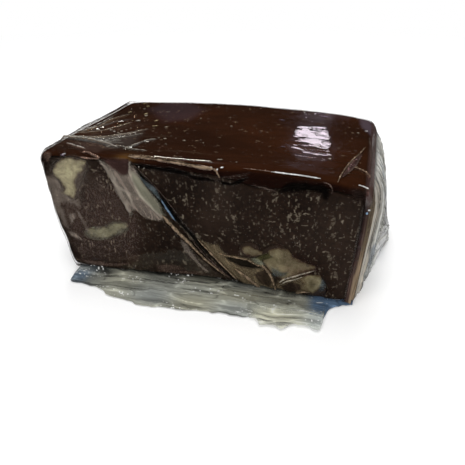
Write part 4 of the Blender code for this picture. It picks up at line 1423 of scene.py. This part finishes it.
@dataclass
class FilmFolds:
    """Folds of the film that stand off its skin, each a thin closed piece laid along a line."""

    skin: FilmSkin
    step: float = 0.3
    across: int = 11
    thickness: float = 0.05
    finish: FilmFinish = field(
        default_factory=lambda: FilmFinish("film_folded", streak=0.7, crinkle=0.0003, along=(1, 1, 1), fineness=900.0)
    )

    def _tree(self) -> tuple[KDTree, np.ndarray, np.ndarray]:
        """Finds places on the skin's front and top by (x, distance over the front upper edge)."""
        use = (np.maximum(-self.skin.normal[..., 1], self.skin.normal[..., 2]) > 0.5) & (self.skin.grid[..., 1] < 30)
        points, normals = self.skin.grid[use], self.skin.normal[use]
        tree = KDTree(len(points))
        for i, (x, s) in enumerate(unrolled(points)):
            tree.insert((x, s, 0), i)
        tree.balance()
        return tree, points, normals

    def _fold(self, fold: Fold, found: tuple[KDTree, np.ndarray, np.ndarray], seed: int) -> bpy.types.Object:
        """Model one fold.

        Args:
            fold: What it is like.
            found: The skin's places.
            seed: Picks its crumples.

        Returns:
            The fold.
        """
        tree, points, normals = found
        line = laid_out(fold.side, fold.line)
        gone = np.concatenate([[0], np.cumsum(np.hypot(*np.diff(line, axis=0).T))])
        small = gone[-1] < 3
        count = 7 if small else max(int(gone[-1] / self.step), 12)
        across = 5 if small else self.across
        t = np.linspace(0, 1, count)
        centre = np.stack([along(tuple(zip(gone, line[:, k])), t * gone[-1]) for k in (0, 1)], -1)
        way = np.gradient(centre, axis=0)
        way /= np.linalg.norm(way, axis=1, keepdims=True)
        beside = np.stack([-way[:, 1], way[:, 0]], -1)
        width = along(tuple(zip((0, 0.5, 1), fold.width)), t) * np.minimum(1, np.minimum(t, 1 - t) * 12 + 0.15)
        width = width * (1 + 0.16 * noise(np.stack([t * gone[-1], t * 0, t * 0 + seed], -1), 2.4, seed))
        a = np.linspace(-1, 1, across)
        where = centre[:, None] + beside[:, None] * (width[:, None] * a / 2)[..., None]
        spot = np.concatenate([where, np.full((*where.shape[:2], 1), float(seed))], -1)
        base = np.empty((*where.shape[:2], 3))
        out = np.empty_like(base)
        for i in range(count):
            for j in range(across):
                near = tree.find_n((*where[i, j], 0), 4)
                weight = np.array([1 / (n[2] + 0.02) for n in near])
                weight /= weight.sum()
                index = [n[1] for n in near]
                base[i, j] = weight @ points[index]
                out[i, j] = weight @ normals[index]
        crumple = creased(spot, (1.6, 1.6, 1.0), seed + 200, 2)
        height = fold.lift * (1 - a**2)[None, :] * np.minimum(1, np.minimum(t, 1 - t) * 10 + 0.1)[:, None]
        height = height * (0.75 + 0.5 * crumple) + 0.10
        rim = ramp(np.abs(a), 0.45, 0.85)[None, :, None] * np.ones((count, 1, 1))
        colour = np.array(fold.core.value) * (1 - rim) + np.array(fold.rim.value) * rim
        # Painted light: the fold is lighter where its crumples stand up.
        colour = colour * (0.65 + 0.75 * crumple[..., None])
        haze = fold.haze * (0.75 + 0.25 * crumple) * (1 - 0.35 * ramp(np.abs(a), 0.8, 1.0)[None, :])
        piece = laid("film_fold_" + fold.name, (base + out * height[..., None]) * MM, np.clip(haze, 0, 0.97), colour)
        modify(piece, "SOLIDIFY", thickness=self.thickness * MM, offset=0.0)
        return piece

    def _glints(self) -> list[Fold]:
        """Painted glints, as small bright folds: the listed ones, and fainter ones strewn over the top."""
        dashes = list(GLINTS)
        luck = np.random.default_rng(17)
        for _ in range(300):
            x, y = luck.uniform(-54, 53), luck.uniform(-31, 29)
            length, width = luck.uniform(0.3, 1.5), luck.uniform(0.12, 0.3)
            fan = math.atan2(y + 20, x + 60) if x < -14 else luck.uniform(-0.5, 0.5)
            colour = (Tint.TAN, Tint.ROSE, Tint.PINK, Tint.CREAM)[luck.choice(4, p=(0.35, 0.35, 0.2, 0.1))]
            dashes.append((T, x, y, length, width, fan, colour))
        folds = []
        for i, (side, x, second, length, width, angle, colour) in enumerate(dashes):
            reach = np.array((math.cos(angle), math.sin(angle))) * length / 2
            line = (tuple(np.array((x, second)) - reach), (x, second), tuple(np.array((x, second)) + reach))
            strong = 0.95 if i < len(GLINTS) else 0.6
            folds.append(Fold(f"glint_{i}", side, line, (width * 0.4, width, width * 0.4), 0.15, strong, colour, colour))
        return folds

    def build(self) -> list[bpy.types.Object]:
        """Model and dress them all."""
        found = self._tree()
        material = self.finish.material()
        pieces = [done(self._fold(fold, found, 300 + i), Slot.FILM, material) for i, fold in enumerate(FOLDS)]
        glints = [self._fold(fold, found, 500 + i) for i, fold in enumerate(self._glints())]
        only(*glints)
        bpy.ops.object.join()
        glints[-1].name = glints[-1].data.name = "film_glints"
        return [*pieces, done(glints[-1], Slot.FILM, material)]


@dataclass
class EndSheets:
    """Loose lobes of film that stand out at the ends, each spanned between two lines of points."""

    rows: int = 26
    columns: int = 60
    thickness: float = 0.05
    finish: FilmFinish = field(
        default_factory=lambda: FilmFinish("film_lobes", streak=0.7, crinkle=0.0004, along=(1, 1, 0.3), fineness=500.0)
    )
    lobes: tuple[tuple[str, tuple[Point, ...], tuple[Point, ...], float], ...] = (
        ("right", ((57, 2, 30), (59.5, 3, 24), (61.5, 5, 17), (63, 8, 9), (64.5, 12, 2.8)),
         ((58, 2, 30.5), (62.8, 4, 25), (66.2, 7, 18), (67.2, 11, 10), (66.2, 15, 2.2)), 0.85),
        ("left", ((-52, 31, 46.6), (-52, 14, 47.2), (-54, 7, 47), (-57, 1, 45.8)),
         ((-52.6, 33.4, 46.4), (-57.2, 28.6, 45.6), (-59.6, 14, 45.4), (-60, 0, 44.8)), 0.42),
    )  # fmt: skip

    def build(self) -> list[bpy.types.Object]:
        """Model and dress them."""
        material = self.finish.material()
        pieces = []
        for i, (name, inner, outer, haze) in enumerate(self.lobes):
            t = np.linspace(0, 1, self.columns)
            lines = []
            for line in (inner, outer):
                table = np.array(line, float)
                ends = np.linspace(0, 1, len(table))
                lines.append(np.stack([along(tuple(zip(ends, table[:, k])), t) for k in range(3)], -1))
            across = np.linspace(0, 1, self.rows)[:, None, None]
            grid = lines[0][None] * (1 - across) + lines[1][None] * across
            pleat = creased(grid, (5.0, 5.0, 12.0), 401 + i, 2)
            grid = grid + (pleat * 0.9)[..., None] * np.array((0.4, -0.8, 0.3)) * np.sin(np.pi * across)
            # Painted light: each lobe is lighter on the crests of its pleats.
            tone = np.array(Tint.GREY.value) * (1.7 + 1.0 * pleat[..., None])
            piece = laid("film_lobe_" + name, grid * MM, np.clip(haze * (0.75 + 0.4 * pleat), 0, 0.97), tone)
            modify(piece, "SOLIDIFY", thickness=self.thickness * MM, offset=0.0)
            pieces.append(done(piece, Slot.FILM, material))
        return pieces


@dataclass
class LooseEdge:
    """The film's crumpled loose edge, on the table in front of the block."""

    rows: int = 72
    columns: int = 420
    outline: tuple[Point, ...] = (
        (-52.1, -41.0), (-51.5, -44.6), (-50, -46.2), (-44, -46.2), (-38, -47.4), (-32, -50.2), (-25, -51.6),
        (-18, -52.6), (-10, -52.5), (-2, -51.9), (8, -50.6), (16, -50.4), (24, -49.6), (32, -48.6),
        (40, -48.4), (44, -48.8), (46.4, -47.6), (47.4, -43.8), (48.4, -40.0), (50.4, -38.2), (52.6, -36.6),
        (54.6, -35.8), (56.6, -34.6),
    )  # fmt: skip
    flap: tuple[Point, ...] = (
        (20, -46), (22, -50.4), (24.6, -51.2), (26.4, -53.4), (29, -52.8), (31.6, -52.6), (34, -54.0),
        (36.4, -51.6), (39.6, -50.4), (42.6, -50.2), (45, -51.4), (46.6, -51.2), (47.2, -47),
    )  # fmt: skip
    thickness: float = 0.05
    finish: FilmFinish = field(
        default_factory=lambda: FilmFinish(
            "film_crumpled", face_on=0.07, streak=0.25, crinkle=0.00035, along=(0.16, 1.0, 1.0), fineness=520.0, shine=0.12
        )
    )

    def _layer(self, name: str, first: float, last: float, seed: int, outline: tuple[Point, ...], high: float, paler: float) -> bpy.types.Object:
        """One layer of the crumpled film.

        Args:
            name: The piece's name.
            first: Where it starts, along X.
            last: Where it ends.
            seed: Picks its crumples.
            outline: (x, y) of its free edge.
            high: How much higher it lies.
            paler: How much lighter it is.

        Returns:
            The layer as a thin closed piece.
        """
        columns = max(int(self.columns * (last - first) / 105), 40)
        x = np.linspace(first, last, columns)[None, :] * np.ones((self.rows, 1))
        t = np.linspace(0, 1, self.rows)[:, None] * np.ones((1, columns))
        inner = Block.front - 0.45 + Block.foot(x, 0.0)
        outer = np.minimum(along(outline, x), inner - 0.4)
        ends = ramp(x, first, first + 2) * ramp(x, last, last - 2)
        y = inner + (outer - inner) * t
        flat = np.stack([x, y, t * 0 + seed], -1)
        y = y + 0.5 * noise(flat, (2.2, 2.0, 1.0), seed + 3) * ramp(t, 0.6, 1.0) * ends
        warp = flat + np.stack([t * 0, noise(flat, (14.0, 6.0, 1.0), seed + 6), t * 0], -1) * 1.5
        long = creased(warp, (24.0, 2.6, 1.0), seed + 7, 2)
        short = creased(warp, (7.0, 1.7, 1.0), seed + 9, 2)
        crumple = long**1.5 * 1.2 + short**2 * 0.45 - 0.6
        swell = 0.6 + 1.3 * np.sin(np.pi * np.clip(t * 0.9 + 0.1, 0, 1)) * (1 - 0.75 * ramp(t, 0.8, 1.0))
        z = high + swell * 0.5 + crumple * (0.3 + 0.7 * np.sin(np.pi * t))
        z = np.maximum(z, 0.12 + high * 0.4 + 0.1 * short)
        z = z * (1 - ramp(t, 0.12, 0.0)) + (1.9 + 0.5 * noise(flat, 3.0, seed + 2)) * ramp(t, 0.12, 0.0)
        broad = noise(warp, (26.0, 3.2, 1.0), seed + 12) * 0.35 + noise(warp, (8.0, 1.6, 1.0), seed + 16) * 0.18
        # Painted highlights and shade of the crumples: bright crests, dark folds and white sparkles, with streaks of
        # both along them.
        bright = creased(warp, (20.0, 1.9, 1.0), seed + 17, 1) ** 5 * 0.85
        dark = creased(warp, (15.0, 2.3, 1.0), seed + 18, 1) ** 6 * 0.48
        sparkle = ramp(noise(flat, (0.7, 0.5, 1.0), seed + 19), 0.62, 0.76) * ramp(noise(flat, (9.0, 4.0, 1.0), seed + 20), 0.0, 0.4)
        tone = np.clip(0.76 + broad + bright - dark, 0.12, 1.6)
        streaks = creased(warp, (15.0, 0.9, 1.0), seed + 21, 2) ** 2
        tone = (tone + (streaks - 0.25) * 0.7).clip(0.10, 2.2)
        # Painted shadow next to the block; lighter again towards the free edge.
        tone = tone * (0.05 + 0.95 * ramp(t, 0.01, 0.11)) * (1 + 0.35 * ramp(t, 0.86, 0.99))
        grey = np.array((0.335, 0.340, 0.290)) * tone[..., None] * (1 + paler)
        beige = noise(flat, (16.0, 8.0, 1.0), seed + 13)[..., None] * np.array((0.10, 0.06, -0.04))
        grey = grey * (1 + beige)
        blue = np.clip(ramp(x, -42, -48) * (0.5 + 0.4 * noise(flat, 6.0, seed + 14)) + ramp(x, 39, 45) * 1.15, 0, 0.95)
        blue = (blue * (1 - 0.7 * paler))[..., None]
        grey = grey * (1 - blue) + np.array(Tint.BLUE.value) * (0.5 + 1.3 * tone[..., None]) * blue
        shine = sparkle[..., None]
        grey = grey * (1 - shine) + np.array(Tint.WHITE.value) * shine
        haze = np.clip(0.86 + 0.2 * broad, 0.3, 0.97) * (1 - 0.18 * ramp(t, 0.84, 1.0)) * (1 - 0.35 * (paler > 0))
        haze = np.maximum(haze, sparkle * 0.97)
        if high:
            haze = haze * ramp(x, first, first + 7) * ramp(t, 0.35, 0.75)
        piece = laid(name, np.stack([x, y, z], -1) * MM, haze, grey)
        modify(piece, "SOLIDIFY", thickness=self.thickness * MM, offset=0.0)
        return piece

    def build(self) -> list[bpy.types.Object]:
        """Model and dress its layers."""
        material = self.finish.material()
        low = self._layer("film_edge_low", -52.1, 56.6, 101, self.outline, 0.0, 0.0)
        high = self._layer("film_edge_flap", 20, 47.2, 131, self.flap, 0.5, 1.25)
        return [
            done(low, Slot.FILM, material, "film_loose_edge"),
            done(high, Slot.FILM, material),
        ]


# ---------------------------------------------------------------------------------------------
# The studio
# ---------------------------------------------------------------------------------------------


@dataclass(frozen=True)
class Softbox:
    """One soft light.

    Attributes:
        name: Its name.
        place: Where it is.
        aim: What it points at.
        width: Its longer side.
        height: Its other side.
        power: In watts.
        colour: Its colour.
        mirrored: Whether glossy surfaces show it.
        shape: Its outline.
    """

    name: str
    place: Point
    aim: Point
    width: float
    height: float
    power: float
    colour: Colour = (1.0, 1.0, 1.0)
    mirrored: bool = True
    shape: str = "RECTANGLE"

    def build(self) -> None:
        """Add it to the scene."""
        light = bpy.data.lights.new(self.name, "AREA")
        light.shape = self.shape
        light.size, light.size_y = self.width, self.height
        light.energy = self.power
        light.color = self.colour
        lamp = bpy.data.objects.new(self.name, light)
        lamp.location = self.place
        lamp.visible_glossy = self.mirrored
        lamp.rotation_mode = "QUATERNION"
        lamp.rotation_quaternion = (Vector(self.aim) - Vector(self.place)).to_track_quat("-Z", "Y")
        bpy.context.scene.collection.objects.link(lamp)


@dataclass
class Studio:
    """A pale floor, soft lights and the camera."""

    lights: tuple[Softbox, ...] = (
        Softbox("light_overhead", (0.1, 0.1, 1.6), (0, 0, 0), 1.5, 1.2, 20.5, mirrored=False),
        Softbox("light_front_left", (-0.9, -1.3, 1.15), (0, 0, 0.02), 1.0, 0.9, 14.0, mirrored=False),
        Softbox("light_front_right", (1.1, -1.0, 0.9), (0, 0, 0.02), 0.8, 0.8, 8.0, mirrored=False),
        Softbox("light_rear", (-0.3, 1.5, 1.25), (0, 0, 0.02), 1.2, 0.8, 9.0, mirrored=False),
        Softbox("light_window", (0.016, 0.384, 0.203), (0.033, 0.000, 0.049), 0.062, 0.024, 0.020, (0.88, 0.80, 1.0), shape="ELLIPSE"),
        Softbox("light_lamp", (-0.35, 0.55, 0.75), (0, 0, 0.03), 0.16, 0.16, 1.0),
        Softbox("light_side", (0.75, -0.35, 0.55), (0.05, 0, 0.03), 0.14, 0.14, 0.15),
    )
    lens: float = 33.65
    shift: tuple[float, float] = (-0.0327, 0.0637)
    place: Point = (0.04939, -0.16071, 0.10208)
    yaw: float = -14.11
    pitch: float = 34.58
    roll: float = -0.39

    def _floor(self) -> None:
        """The pale floor, which no gloss mirrors."""
        bpy.ops.object.select_all(action="DESELECT")
        bpy.ops.mesh.primitive_circle_add(vertices=96, radius=4.0, fill_type="NGON", location=(0, 0, -0.0003))
        floor = bpy.context.object
        floor.name = "floor"
        g = Graph("floor_pale")
        tone = g.blend((0.87, 0.87, 0.87), (0.89, 0.89, 0.89), g.clouds(3, 2))
        away = g.node("ShaderNodeVectorMath", {"operation": "LENGTH"}, {0: g.place()}, "Value").step(0.22, 0.75)
        floor.data.materials.append(
            g.finish(
                Base_Color=g.blend(tone, (0.0, 0.0, 0.0), away),
                Emission_Color=g.blend((0.12, 0.12, 0.12), (1.0, 1.0, 1.0), away),
                Emission_Strength=1.0,
                Roughness=0.9,
                Specular_IOR_Level=0.0,
            )
        )
        floor.visible_glossy = False

    def _surroundings(self) -> None:
        """White behind the object, but dim in its reflections."""
        world = bpy.data.worlds.new("studio")
        bpy.context.scene.world = world
        world.use_nodes = True
        tree = world.node_tree
        dim = tree.nodes["Background"]
        dim.inputs["Color"].default_value = (1.0, 0.95, 0.9, 1)
        dim.inputs["Strength"].default_value = 0.012
        bright = tree.nodes.new("ShaderNodeBackground")
        bright.inputs["Color"].default_value = (1, 1, 1, 1)
        rays = tree.nodes.new("ShaderNodeLightPath")
        mix = tree.nodes.new("ShaderNodeMixShader")
        tree.links.new(rays.outputs["Is Camera Ray"], mix.inputs[0])
        tree.links.new(dim.outputs[0], mix.inputs[1])
        tree.links.new(bright.outputs[0], mix.inputs[2])
        tree.links.new(mix.outputs[0], tree.nodes["World Output"].inputs["Surface"])

    def _camera(self) -> None:
        """The camera, at the object's own viewing angle."""
        yaw, pitch, roll = (math.radians(v) for v in (self.yaw, self.pitch, self.roll))
        forward = Vector((math.sin(yaw) * math.cos(pitch), math.cos(yaw) * math.cos(pitch), -math.sin(pitch)))
        right = Vector((math.cos(yaw), -math.sin(yaw), 0))
        up = right.cross(forward)
        turned = right * math.cos(roll) + up * math.sin(roll)
        upright = up * math.cos(roll) - right * math.sin(roll)
        data = bpy.data.cameras.new("camera")
        data.lens = self.lens
        data.sensor_width = 36.0
        data.shift_x, data.shift_y = self.shift
        data.clip_start = 0.01
        camera = bpy.data.objects.new("camera", data)
        camera.matrix_world = Matrix.Translation(self.place) @ Matrix((turned, upright, -forward)).transposed().to_4x4()
        bpy.context.scene.collection.objects.link(camera)
        bpy.context.scene.camera = camera

    def build(self) -> None:
        """Set it all up."""
        self._floor()
        self._surroundings()
        for light in self.lights:
            light.build()
        self._camera()
        scene = bpy.context.scene
        scene.view_settings.view_transform = "Standard"
        scene.cycles.transparent_max_bounces = 32


def main() -> None:
    """Build the object and its studio."""
    logging.basicConfig(level=logging.INFO, format="%(name)s: %(message)s")
    Studio().build()
    fudge = FudgeBlock().build()
    icing = Icing().build()
    kernels = Walnuts().build()
    skin = FilmSkin()
    skin.build([fudge, icing, *kernels])
    FilmFolds(skin).build()
    EndSheets().build()
    LooseEdge().build()


if __name__ == "__main__":
    main()
